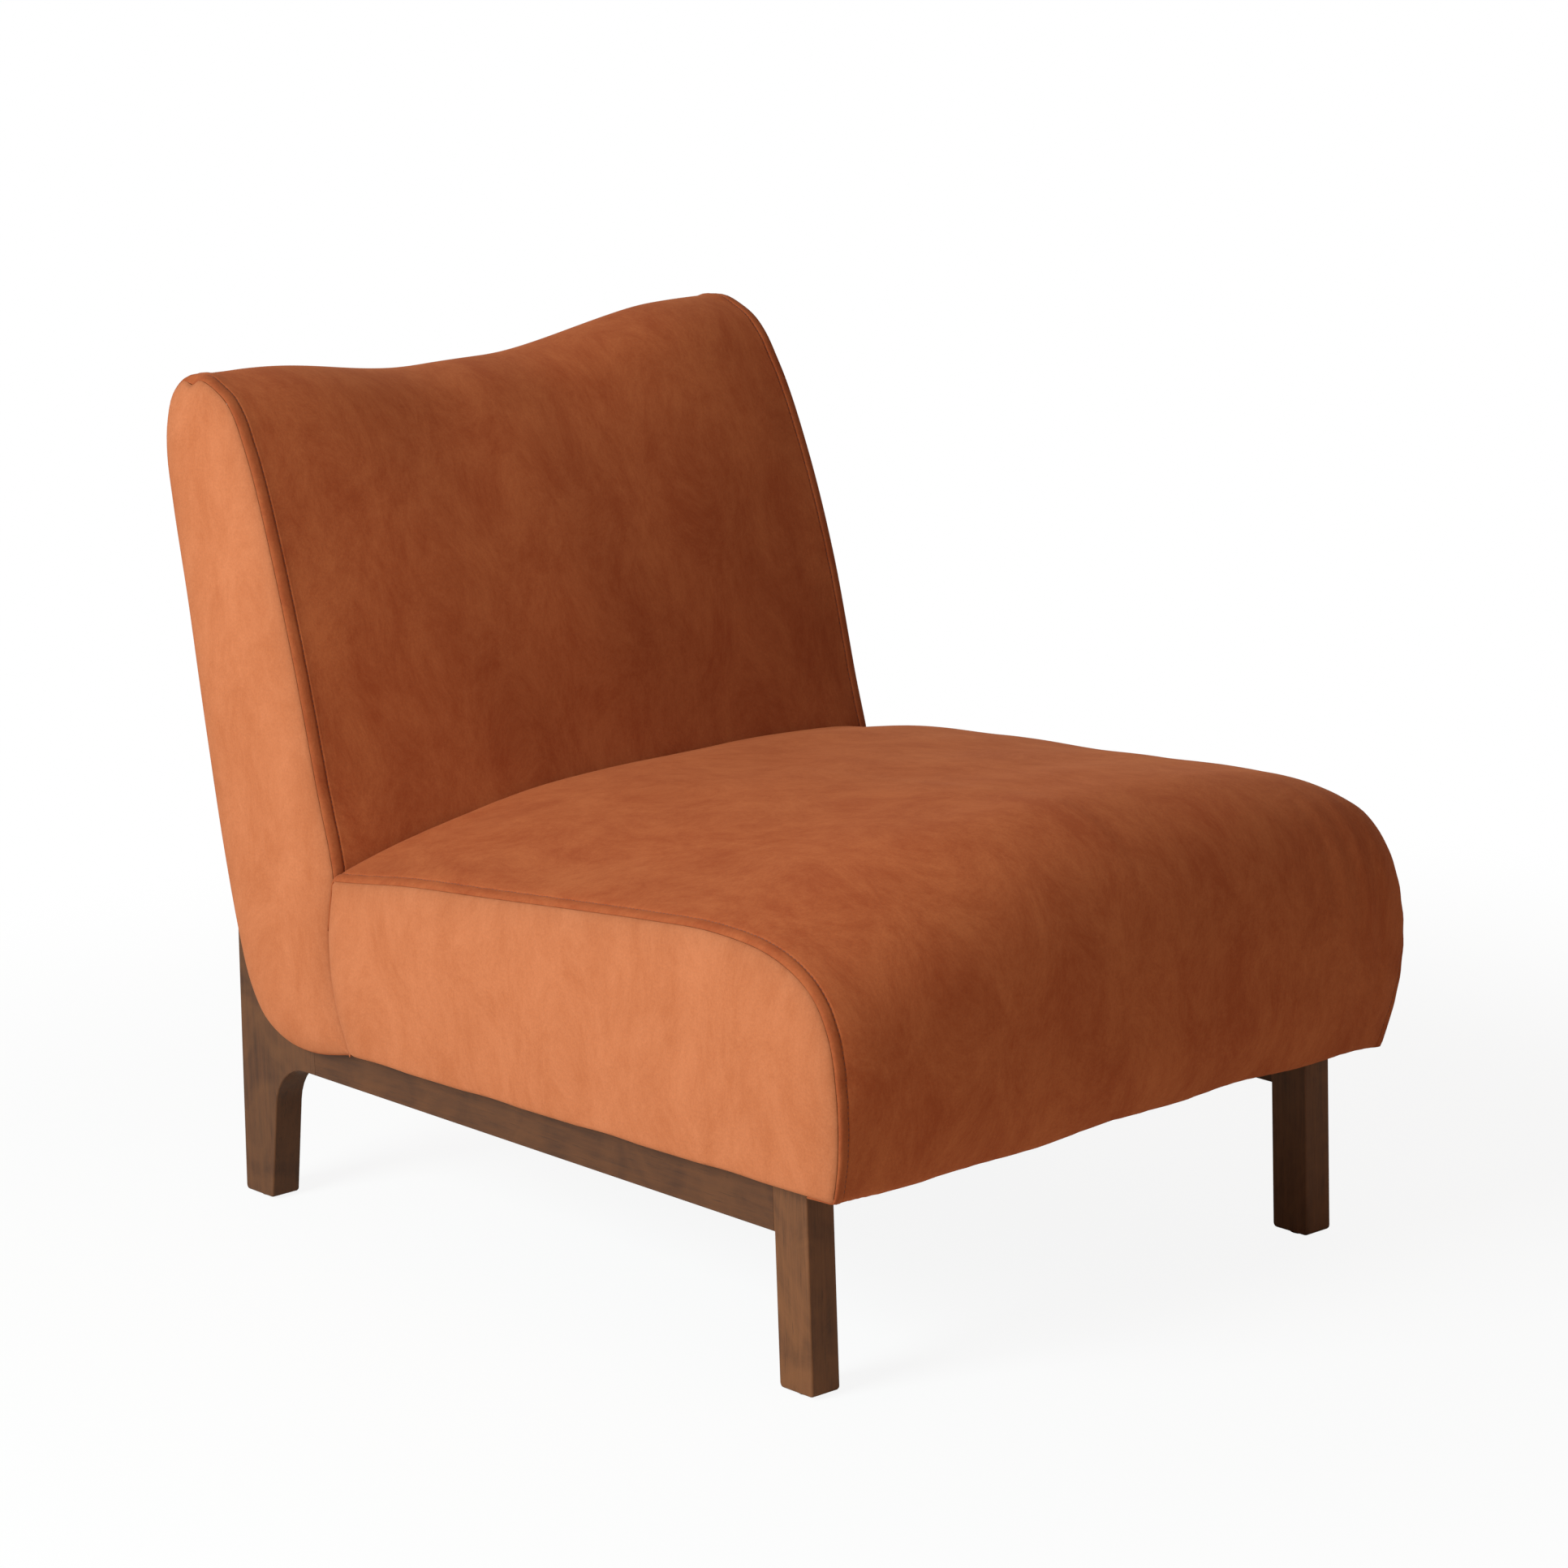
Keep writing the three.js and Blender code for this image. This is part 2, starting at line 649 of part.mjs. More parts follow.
crossTenonPlaces().forEach(([y, z], i) => {
  const half = railInnerX - clearance;
  const bar = block(
    -half, half,
    y - crossRailThickness / 2, y + crossRailThickness / 2,
    railUnderside + crossRailRaise, roughTopZ,
  );
  const rail = bar
    .add(crossTenon(-1, y, z))
    .add(crossTenon(1, y, z))
    .subtract(seatGrown)
    .subtract(backGrown);
  addPiece(i === 0 ? 'front_cross_rail' : 'rear_cross_rail', geometryOf(rail), walnut);
});

// Triangular blocks in the corners of side rails and cross rails
function cornerBlock(sign, y, towards) {
  const cornerX = sign * (railInnerX - clearance);
  const shape = new THREE.Shape([
    new THREE.Vector2(cornerX, y),
    new THREE.Vector2(cornerX - sign * cornerBlockLeg, y),
    new THREE.Vector2(cornerX, y + towards * cornerBlockLeg),
  ]);
  const geometry = new THREE.ExtrudeGeometry(shape, { depth: cornerBlockHeight, bevelEnabled: false });
  geometry.translate(0, 0, railUnderside + crossRailRaise);
  return geometry;
}

const [frontCrossY, rearCrossY] = crossTenonPlaces().map(([y]) => y);
const crossFace = crossRailThickness / 2 + clearance;
sides.forEach(([side, sign]) => {
  addPiece(`corner_block_front_${side}`, cornerBlock(sign, frontCrossY + crossFace, 1), beech);
  addPiece(`corner_block_rear_${side}`, cornerBlock(sign, rearCrossY - crossFace, -1), beech);
});

// Foot glides, each pressed by its stem into the bottom of a leg
function glide(x, y) {
  const stemTop = glideThickness + glideStemLength;
  const face = glideThickness - clearance;
  const profile = [
    [0, 0], [glideRadius - glideEdge, 0], [glideRadius, glideEdge], [glideRadius, face],
    [glideStemRadius, face], [glideStemRadius, stemTop], [0, stemTop],
  ].map(([radius, height]) => new THREE.Vector2(radius, height));
  const geometry = new THREE.LatheGeometry(profile, roundSides);
  geometry.rotateX(Math.PI / 2);
  geometry.translate(x, y, 0);
  return geometryOf(solidOf(geometry));
}

sides.forEach(([side, sign]) => {
  const rearY = rearFootRearY - rearFootDepth / 2;
  addPiece(`foot_glide_front_${side}`, glide(sign * railX, legFrontY + frontLegDepth / 2), nylon);
  addPiece(`foot_glide_rear_${side}`, glide(sign * railX, rearY), nylon);
});

// Bolts and their inserts
function bolt({ x, y }) {
  const seatZ = railUnderside + counterboreDepth - clearance;
  const headZ = seatZ - boltHeadHeight;
  const tipZ = undersideAt(y) + skin + boltGrip;
  const profile = [
    [0, headZ], [boltHeadRadius, headZ], [boltHeadRadius, seatZ],
    [boltRadius, seatZ], [boltRadius, tipZ], [0, tipZ],
  ].map(([radius, height]) => new THREE.Vector2(radius, height));
  const geometry = new THREE.LatheGeometry(profile, boltSides);
  geometry.rotateX(Math.PI / 2);
  geometry.translate(x, y, 0);
  const socketTopZ = headZ + boltSocketDepth;
  const socket = uprightCylinder(x, y, headZ - overrun, socketTopZ, boltSocketRadius, socketSides);
  return solidOf(geometry).subtract(socket);
}

function threadedInsert({ x, y }) {
  const bottom = undersideAt(y) + skin;
  const inner = boltRadius + clearance;
  return uprightCylinder(x, y, bottom, bottom + insertLength, inner + insertWall)
    .subtract(uprightCylinder(x, y, bottom - overrun, bottom + insertLength + overrun, inner));
}

boltPlaces.forEach((place) => {
  addPiece(`body_bolt_${place.name}`, geometryOf(bolt(place)), steel);
  addPiece(`threaded_insert_${place.name}`, geometryOf(threadedInsert(place)), steel);
});

// Inner frame: back posts, with a mortise for each seat rail
const postBottomZ = undersideHeight + postFoot;
const postTopZ = backTopZ - postTopDrop;
const seatTenonZ = undersideHeight + skin + innerRailHeight / 2;

function seatTenon(x, grow = 0) {
  const y = rearLineY(seatTenonZ) - postDepth;
  return tenon(x, y - overrun, y + tenonLength, seatTenonZ, grow);
}

function backPost(x) {
  return across(behindLine(postDepth, postBottomZ, postTopZ), innerRailThickness, x)
    .intersect(backFoamFull)
    .subtract(seatTenon(x, clearance));
}

function seatSideRail(x) {
  const rearY = backRearY - postDepth;
  const bottomAt = (y) => undersideAt(y) + skin + clearance;
  const outline = [
    [innerFrontY, bottomAt(innerFrontY)],
    [rearY, bottomAt(rearY)],
    [rearY, innerRailTopZ],
    [innerFrontY, innerRailTopZ],
  ];
  const postSpace = across(behindLine(postDepth + clearance, 0, backTopZ), railWidth, x);
  let rail = across(outline, innerRailThickness, x).subtract(postSpace).add(seatTenon(x));
  boltPlaces.filter((place) => place.x * x > 0).forEach((place) => {
    rail = rail.subtract(boltHole(place, clearance)).subtract(insertBore(place));
  });
  return rail;
}

sides.forEach(([side, sign]) => {
  addPiece(`back_post_${side}`, geometryOf(backPost(sign * innerRailX)), beech);
  addPiece(`seat_frame_${side}`, geometryOf(seatSideRail(sign * innerRailX)), beech);
});

function seatCrossRail(yFrom) {
  const bottom = Math.max(undersideAt(yFrom), undersideAt(yFrom + innerRailThickness)) + skin + clearance;
  return block(-innerSpan / 2, innerSpan / 2, yFrom, yFrom + innerRailThickness, bottom, innerRailTopZ);
}

const rearRailY = backFootY - 2 * innerRailThickness;
addPiece('seat_frame_front', geometryOf(seatCrossRail(innerFrontY)), beech);
addPiece('seat_frame_rear', geometryOf(seatCrossRail(rearRailY)), beech);

// The top rail of the back is hollowed along its upper edge, like the top of the chair. Its points
// lie where those of the foam's hollow lie, and the rail is then cut to the space between the posts
const cavityWidth = 2 * (innerRailOuterX + clearance);

function backTopRail() {
  const outline = [];
  for (let step = 0; step <= hollowSteps; step += 1) {
    const x = (step / hollowSteps - 0.5) * cavityWidth;
    outline.push(new THREE.Vector2(x, postTopZ - dipAt(x, backTopZ)));
  }
  outline.push(new THREE.Vector2(cavityWidth / 2, postTopZ - topRailHeight));
  outline.push(new THREE.Vector2(-cavityWidth / 2, postTopZ - topRailHeight));
  const geometry = new THREE.ExtrudeGeometry(new THREE.Shape(outline), {
    depth: backRailThickness,
    bevelEnabled: false,
  });
  geometry.rotateX(Math.PI / 2);
  geometry.translate(0, rearLineY(postTopZ - topRailHeight) - skin, 0);
  const space = block(-innerSpan / 2, innerSpan / 2, backFootY, backRearY, backBottomZ, backTopZ);
  return geometryOf(solidOf(geometry).intersect(backFoamFull).intersect(space));
}

function backLowerRail() {
  const zFrom = undersideHeight + lowerRailRaise;
  const front = rearLineY(zFrom + lowerRailHeight) - postDepth;
  const half = innerSpan / 2;
  return block(-half, half, front, front + backRailThickness, zFrom, zFrom + lowerRailHeight);
}

addPiece('back_top_rail', backTopRail(), beech);
addPiece('back_lower_rail', geometryOf(backLowerRail()), beech);

// Webbing straps on the front of the posts
const strapHalf = innerRailOuterX - clearance;
for (let strap = 0; strap < strapCount; strap += 1) {
  const zFrom = backBottomZ + (firstStrapShare + strap * strapPitchShare) * backHeight;
  const near = rearLine(postDepth + clearance, zFrom, zFrom + strapWidth);
  const far = rearLine(postDepth + clearance + strapThickness, zFrom, zFrom + strapWidth);
  const outline = [...near, ...far.reverse()];
  addPiece(`back_strap_${strap + 1}`, geometryOf(across(outline, 2 * strapHalf)), webbing);
}

// Serpentine springs between the front and rear rails of the seat frame, held by folded clips
const slot = wireRadius + clearance;
const wireZ = innerRailTopZ + clearance + clipPlate + slot;
const wireFrontY = innerFrontY + innerRailThickness / 2;
const wireRearY = rearRailY + innerRailThickness / 2;

function archAt(y) {
  const share = THREE.MathUtils.clamp((y - wireFrontY) / (wireRearY - wireFrontY), 0, 1);
  return springArch * Math.sin(Math.PI * share);
}

function springPoints(x) {
  const pitch = (wireRearY - wireFrontY) / (springBars - 1);
  const reach = (springWidth - pitch) / 2;
  const points = [];
  for (let bar = 0; bar < springBars; bar += 1) {
    const y = wireFrontY + bar * pitch;
    const way = bar % 2 === 0 ? 1 : -1;
    points.push([x - way * reach, y], [x + way * reach, y]);
    const turn = bar < springBars - 1 ? [0.25, 0.5, 0.75] : [];
    turn.map((share) => share * Math.PI).forEach((angle) => {
      points.push([
        x + way * (reach + pitch / 2 * Math.sin(angle)),
        y + pitch / 2 * (1 - Math.cos(angle)),
      ]);
    });
  }
  return points.map(([px, py]) => new THREE.Vector3(px, py, wireZ + archAt(py)));
}

// A tube along points that lie almost level
function levelTube(points, radius, sides) {
  const positions = [];
  const up = new THREE.Vector3(0, 0, 1);
  points.forEach((point, i) => {
    const before = points[Math.max(i - 1, 0)];
    const after = points[Math.min(i + 1, points.length - 1)];
    const sideways = after.clone().sub(before).cross(up).normalize();
    for (let side = 0; side < sides; side += 1) {
      const angle = 2 * Math.PI * side / sides;
      const rim = point.clone()
        .addScaledVector(sideways, radius * Math.cos(angle))
        .addScaledVector(up, radius * Math.sin(angle));
      positions.push(rim.x, rim.y, rim.z);
    }
  });
  const faces = [];
  for (let i = 0; i < points.length - 1; i += 1) {
    for (let side = 0; side < sides; side += 1) {
      const [a, b] = [i * sides + side, i * sides + (side + 1) % sides];
      faces.push(a, b + sides, b, a, a + sides, b + sides);
    }
  }
  const end = (points.length - 1) * sides;
  for (let side = 1; side < sides - 1; side += 1) {
    faces.push(0, side, side + 1, end, end + side + 1, end + side);
  }
  const geometry = new THREE.BufferGeometry();
  geometry.setAttribute('position', new THREE.Float32BufferAttribute(positions, 3));
  geometry.setIndex(faces);
  return geometry;
}

function clip(x, y, way) {
  const [back, mouth] = [y - way * (slot + clipPlate), y + way * clipLength];
  const [bottom, top] = [wireZ - slot - clipPlate, wireZ + slot + clipPlate];
  const outline = [
    [back, bottom], [mouth, bottom], [mouth, wireZ - slot], [y - way * slot, wireZ - slot],
    [y - way * slot, wireZ + slot], [mouth, wireZ + slot], [mouth, top], [back, top],
  ];
  return geometryOf(across(outline, clipWidth, x));
}

for (let spring = 0; spring < springCount; spring += 1) {
  const x = (spring - (springCount - 1) / 2) * innerSpan / springCount;
  const wire = solidOf(levelTube(springPoints(x), wireRadius, wireSides));
  addPiece(`seat_spring_${spring + 1}`, geometryOf(wire), steel);
  addPiece(`spring_clip_front_${spring + 1}`, clip(x, wireFrontY, 1), steel);
  addPiece(`spring_clip_rear_${spring + 1}`, clip(x, wireRearY, -1), steel);
}

// Felt insulator on the springs; its arch is also the underside of the seat foam
const insulatorRaise = slot + clipPlate + clearance;

function archLine(yFrom, yTo, raise) {
  const line = [];
  for (let step = 0; step <= archSteps; step += 1) {
    const y = THREE.MathUtils.lerp(yFrom, yTo, step / archSteps);
    line.push([y, wireZ + archAt(y) + raise]);
  }
  return line;
}

const insulatorOutline = [
  ...archLine(wireFrontY, wireRearY, insulatorRaise),
  ...archLine(wireFrontY, wireRearY, insulatorRaise + insulatorThickness).reverse(),
];
const insulatorWidth = innerSpan - 2 * insulatorInset;
addPiece('spring_insulator', geometryOf(across(insulatorOutline, insulatorWidth)), webbing);

// Foam of the seat: a block over the springs, with sides and a front that hide the frame
const foamRaise = insulatorRaise + insulatorThickness + clearance;
const seatCavity = [
  [innerFrontY - clearance, 0],
  [innerFrontY - clearance, wireZ + foamRaise],
  ...archLine(wireFrontY, wireRearY, foamRaise),
  [backRearY, wireZ + foamRaise],
  [backRearY, 0],
];
const seatFoam = seatFoamFull.subtract(across(seatCavity, cavityWidth));
addPiece('seat_foam', geometryOf(seatFoam), foam);

// Foam of the back: a slab before the straps, closed round the top and the sides of the frame
function dipped(geometry) {
  const position = geometry.attributes.position;
  for (let i = 0; i < position.count; i += 1) {
    const z = position.getZ(i);
    position.setZ(i, z - dipAt(position.getX(i), z, postTopZ, postTopDrop));
  }
  return geometry;
}

const cavityLine = postDepth + strapThickness + 2 * clearance;
const cavityFloorZ = wireZ + foamRaise;
const backCavity = [
  [backFootY - backReach, 0],
  [backFootY - backReach, cavityFloorZ],
  ...rearLine(cavityLine, cavityFloorZ, postTopZ + clearance),
  [backRearY + overrun, postTopZ + clearance],
  [backRearY + overrun, 0],
];
const backHollow = solidOf(dipped(acrossGeometry(backCavity, cavityWidth, 0, 0, hollowSteps)));
addPiece('back_foam', geometryOf(backFoamFull.subtract(backHollow)), foam);

// Covers: shells round the two bodies, parted at the side seams
const seatShell = seatOuter.subtract(seatInner);
const backShell = backOuter.subtract(backInner);

// All between the side seams; for the back it is drawn in towards the top, like the back itself
function seamCore(width, shoulders = false) {
  const height = backTopZ + overrun;
  const geometry = new THREE.BoxGeometry(width, 4 * seatLength, height, 1, 1, coreSteps);
  geometry.translate(0, 0, height / 2);
  if (shoulders) {
    const position = geometry.attributes.position;
    for (let i = 0; i < position.count; i += 1) {
      const share = position.getX(i) / halfBack;
      position.setX(i, position.getX(i) - share * shoulderAt(position.getZ(i)));
    }
  }
  return solidOf(geometry);
}

function sidePanel(shell, sign, core) {
  const half = block(
    Math.min(0, sign * seatWidth), Math.max(0, sign * seatWidth),
    noseY - seatLength, backRearY + backReach,
    0, backTopZ + backHeight,
  );
  return geometryOf(shell.intersect(half).subtract(core));
}

sides.forEach(([side, sign]) => {
  const seatCore = seamCore(seatWidth - 2 * coverThickness);
  const backCore = seamCore(backWidth - 2 * coverThickness, true);
  addPiece(`seat_side_cover_${side}`, sidePanel(seatShell, sign, seatCore), velvet);
  addPiece(`back_side_cover_${side}`, sidePanel(backShell, sign, backCore), velvet);
});

// Seat cover: tucked in behind, over the top and the front, turned under in front
const tuckZ = creaseZ - tuckDepth;
const openUnder = [
  [noseY + turnUnder, 0],
  [noseY + turnUnder, undersideAt(noseY + turnUnder) + skin],
  [backFootY - backReach / 2, undersideAt(backFootY - backReach / 2) + skin],
  [backFootY - backReach / 2, tuckZ],
  [backRearY, tuckZ],
  [backRearY, 0],
];
const seatPanel = seatShell
  .intersect(seamCore(seatWidth - 2 * skin))
  .subtract(across(openUnder, seatWidth));
addPiece('seat_cover', geometryOf(seatPanel), velvet);

// Back covers: the front one goes over the top, the outside one from there down round the heel
const rearSeamZ = backTopZ - rearSeamDrop;
const innerCoreY = backFootY + backReach / 2;
const upperCoreY = backRearY - backReach / 4;
const frontRegion = [
  [backFootY - backReach, tuckZ], [innerCoreY, tuckZ], [upperCoreY, rearSeamZ],
  [backRearY + backReach, rearSeamZ], [backRearY + backReach, backTopZ + overrun],
  [backFootY - backReach, backTopZ + overrun],
];
const rearRegionStartY = backFootY + tuckDepth;
const rearRegion = [
  [rearRegionStartY, 0], [rearRegionStartY, backBottomZ + overrun],
  [innerCoreY, tuckZ - overrun], [upperCoreY, rearSeamZ - clearance],
  [backRearY + backReach, rearSeamZ - clearance], [backRearY + backReach, 0],
];
const backBand = backShell.intersect(seamCore(backWidth - 2 * skin, true));
const frontPanel = backBand.intersect(across(frontRegion, backWidth));
const rearPanel = backBand.intersect(across(rearRegion, backWidth));
addPiece('back_cover', geometryOf(frontPanel), velvet);
addPiece('outside_back_cover', geometryOf(rearPanel), velvet);

// Dust cover under the springs
const dustFrontY = noseY + turnUnder + clearance;
const dustRearY = rearRegionStartY - clearance;
const dustAt = (y, raise) => [y, undersideAt(y) + clearance + raise];
let dustCover = across([
  dustAt(dustFrontY, 0), dustAt(dustRearY, 0),
  dustAt(dustRearY, sheetThickness), dustAt(dustFrontY, sheetThickness),
], 2 * (innerRailOuterX - clearance));
boltPlaces.forEach((place) => {
  dustCover = dustCover.subtract(boltHole(place, clearance));
});
addPiece('dust_cover', geometryOf(dustCover), cambric);

export default chair;
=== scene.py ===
# %% [markdown]
# # A slipper chair in rust velvet
#
# A slipper chair is a low chair without arms. This one has a thick seat with a rounded front, a
# back that leans away from the sitter, and a stained wooden frame on each side that carries both.
# The CAD model already holds every piece at its real size, so it is loaded first and nothing in it
# is moved. The wood keeps its shape and gets a better finish. The velvet covers are built again,
# with their seams, their stitches and the swell of foam under stretched cloth.

# %% Load the CAD frame
import math

import bmesh
import bpy
import numpy as np
from mathutils import Euler, Matrix, Vector


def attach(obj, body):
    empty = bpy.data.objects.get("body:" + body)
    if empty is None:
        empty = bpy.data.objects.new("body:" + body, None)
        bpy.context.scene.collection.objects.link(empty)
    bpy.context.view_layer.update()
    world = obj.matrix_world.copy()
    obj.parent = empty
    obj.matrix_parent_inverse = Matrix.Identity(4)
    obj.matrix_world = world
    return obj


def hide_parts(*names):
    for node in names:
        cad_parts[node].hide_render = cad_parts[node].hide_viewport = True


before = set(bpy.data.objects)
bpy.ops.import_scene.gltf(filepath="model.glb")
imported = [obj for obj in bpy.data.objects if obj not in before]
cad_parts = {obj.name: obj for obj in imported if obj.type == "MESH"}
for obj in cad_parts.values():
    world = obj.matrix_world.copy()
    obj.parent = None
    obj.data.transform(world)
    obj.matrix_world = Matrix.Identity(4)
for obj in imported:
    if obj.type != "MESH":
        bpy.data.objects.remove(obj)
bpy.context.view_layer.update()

print("CAD nodes:", len(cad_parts))

# %% [markdown]
# ## Sizes
#
# Blender works in metres, but a chair maker thinks in millimetres, so each size is written as a
# number of millimetres. These are the sizes that the CAD model drives the upholstery with.

# %% Sizes of the upholstery
mm = 0.001
seat_half = 332 * mm             # from the middle to the side seam
back_half = 326 * mm
seat_length = 686 * mm
seat_thickness = 218 * mm
underside_height = 178 * mm
underside_rise = 10 * mm         # how much higher the underside is at the front
back_reach = 253 * mm
back_height = 614 * mm
heel_drop = 10 * mm
seat_crown = 78 * mm
back_crown = 22 * mm
rear_crown = 4 * mm
nose_crown_share = 0.277
shoulder_draw = 10 * mm          # how far the back is narrower at each side of its top edge
shoulder_depth = 280 * mm
top_dip = 22.5 * mm              # how much lower the top edge is in the middle
dip_width = 498 * mm
dip_depth = 180 * mm
dip_middle = -17.5 * mm          # the padding of the top edge is a little uneven
dip_flat_share = 0.145           # this share of the dip has a flat bottom
right_rise = 3 * mm              # and it is thicker towards the right corner
right_rise_x = 255 * mm
right_rise_reach = 80 * mm
rear_seam_drop = 38 * mm
cloth_thickness = 2 * mm

nose_y = (nose_crown_share * seat_crown - rear_crown - seat_length - back_reach) / 2
back_foot_y = nose_y + seat_length
back_bottom_z = underside_height - heel_drop
back_top_z = back_bottom_z + back_height
print("seat from", round(nose_y, 3), "to", round(back_foot_y, 3), "m")
print("back up to", round(back_top_z, 3), "m")

# %% [markdown]
# ## Outlines of the seams
#
# Seat and back are each sewn round a side panel, and the seam at the edge of that panel is the line
# that gives them their shape. A few points of each seam are enough: every point is a share of the
# length and of the height, and the third number is the share of the crown that the cloth has there,
# halfway between the two side seams. A Catmull-Rom curve runs through the points without corners.

# %% Seam points and a smooth line through them
seat_shares = [
    (1.105, 0.74, 0.63), (1, 0.766, 0.61), (0.848, 0.83, 0.65), (0.673, 0.881, 0.66),
    (0.505, 0.931, 0.66), (0.343, 0.977, 0.66), (0.23, 1, 0.7), (0.128, 0.977, 0.79),
    (0.069, 0.913, 0.72), (0.034, 0.826, 0.545), (0.011, 0.688, 0.385), (0.002, 0.523, 0.272),
    (0, 0.335, 0.206), (0.005, 0.17, 0.1), (0.014, 0.05, 0),
]
back_front_shares = [
    (0, 0.016, 0), (0.065, 0.086, 0.2), (0.093, 0.142, 0.5), (0.093, 0.199, 0.8),
    (0.073, 0.244, 1), (0.054, 0.285, 1), (0.129, 0.419, 1), (0.235, 0.607, 1),
    (0.359, 0.772, 0.8), (0.484, 0.896, 0.5), (0.613, 0.971, 0.25), (0.834, 1, 0),
]
back_rear_shares = [
    (0, 0.016, 0), (0.224, 0, 0), (0.374, 0.002, 0), (0.476, 0.015, 0), (0.556, 0.037, 0),
    (0.631, 0.085, 0), (0.681, 0.151, 0.2), (0.749, 0.28, 0.8), (0.82, 0.459, 1),
    (0.892, 0.656, 1), (0.967, 0.801, 0.8), (1, 0.876, 0.5), (0.995, 0.928, 0.3),
    (0.952, 0.974, 0.1),
]
points_per_span = 40
nose_split = 8.6                 # the span of the seat's seam where the top turns into the front


def smooth_line(points):
    """A centripetal Catmull-Rom curve through the points."""
    p = np.array(points, float)
    extended = np.vstack([2 * p[0] - p[1], p, 2 * p[-1] - p[-2]])
    t = np.linspace(0, 1, points_per_span, endpoint=False)[:, None]
    spans = []
    for a, b, c, d in zip(extended[:-3], extended[1:-2], extended[2:-1], extended[3:]):
        before, here, after = (np.sqrt(np.linalg.norm(v)) for v in (b - a, c - b, d - c))
        leave = ((b - a) / before - (c - a) / (before + here) + (c - b) / here) * here
        arrive = ((c - b) / here - (d - b) / (here + after) + (d - c) / after) * here
        start = (2 * t**3 - 3 * t**2 + 1) * b + (t**3 - 2 * t**2 + t) * leave
        spans.append(start + (3 * t**2 - 2 * t**3) * c + (t**3 - t**2) * arrive)
    return np.vstack(spans + [p[-1:]])


def back_points(shares, crown):
    """Seam points of the back in metres, each with its crown."""
    return [
        (back_foot_y + y * back_reach, back_bottom_z + z * back_height, swell * crown)
        for y, z, swell in shares
    ]


seat_line = smooth_line([
    (nose_y + y * seat_length, underside_height + z * seat_thickness, swell * seat_crown)
    for y, z, swell in seat_shares
])
back_loop = smooth_line(
    back_points(back_front_shares, back_crown) + back_points(back_rear_shares[::-1], rear_crown)
)
apex = (len(back_front_shares) - 1) * points_per_span
print("seat seam:", len(seat_line), "points; back seam:", len(back_loop), "points")

# %% [markdown]
# ## From a seam to a surface
#
# Between its side seams the cloth swells along the outward normal of the seam line. The swell is
# full in the middle and nothing at the seams, and the exponent says how round it is in between:
# a small one gives a cushion that rises fast beside the seam. With use the foam of this seat has
# moved over to the right. There the exponent is small, and it differs along the seam.

# %% Sections of the two bodies
left_round = 0.88
right_round_shares = [
    (0, 0.2), (0.214, 0.28), (0.357, 0.48), (0.464, 0.5), (0.571, 0.29), (0.786, 0.2), (1, 0.4),
]
back_round = 0.9
seam_depth = 1.6 * mm            # how deep the cloth is drawn in along a seam
seam_gap = 0.15 * mm
seam_inset = seam_depth + seam_gap


def outward(line, turn):
    """Unit normals of a line in the (y, z) plane; turn is 1 or -1 for the side they are on."""
    tangent = np.gradient(line[:, :2], axis=0)
    tangent /= np.linalg.norm(tangent, axis=1)[:, None]
    return turn * np.stack([tangent[:, 1], -tangent[:, 0]], axis=1)


seat_normals = outward(seat_line, 1)
back_normals = outward(back_loop, -1)
right_rounds = np.interp(np.linspace(0, 1, len(seat_line)), *zip(*right_round_shares))


def shoulder_at(z):
    """How much narrower each side of the back is at height z."""
    share = np.clip((z - back_top_z + shoulder_depth) / shoulder_depth, 0, 1)
    return shoulder_draw * share**2


def dip_at(x, z):
    """How far the top edge is let down at x; lower down it fades out."""
    away = np.abs(x - dip_middle) / (dip_width / 2)
    hollow = np.clip((1 - away) / (1 - dip_flat_share), 0, 1)
    rise = right_rise * np.exp(-(((x - right_rise_x) / right_rise_reach) ** 2))
    share = np.clip((z - back_top_z + dip_depth) / dip_depth, 0, 1)
    return (top_dip * (3 * hollow**2 - 2 * hollow**3) - rise) * share


def underside_at(y):
    """Height of the seat's underside at y."""
    return underside_height + underside_rise * (back_foot_y - y) / seat_length


def seat_section(share):
    """The seat's line at a share of the half width, as rows of x, y and z."""
    rounds = right_rounds if share > 0 else left_round
    swell = seat_line[:, 2] * max(1 - share**2, 0) ** rounds
    yz = seat_line[:, :2] + seat_normals * swell[:, None]
    return np.column_stack([np.full(len(yz), share * (seat_half - seam_inset)), yz])


def back_section(share):
    """The back's line at a share of the half width, round from its foot to its foot."""
    swell = back_loop[:, 2] * max(1 - share**2, 0) ** back_round
    yz = back_loop[:, :2] + back_normals * swell[:, None]
    x = share * (back_half - seam_inset - shoulder_at(yz[:, 1]))
    return np.column_stack([x, yz[:, 0], yz[:, 1] - dip_at(x, yz[:, 1])])


print("top of the seat in the middle:", round(seat_section(0)[:, 2].max(), 3), "m")

# %% [markdown]
# ## Grids of points
#
# Each cover is laid out as a grid of points, like the weave of the cloth itself. The threads of the
# grid lie close together beside a seam or a row of stitches, where the cloth bends within a
# millimetre, and far apart in the open field of the panel.

# %% Spacing, resampling and rounding of lines
fine_step = 0.4 * mm
open_step = 8 * mm
edge_zone = 36 * mm              # this strip beside a seam keeps its spacing on every row
step_growth = 0.2
walk_step = 1 * mm


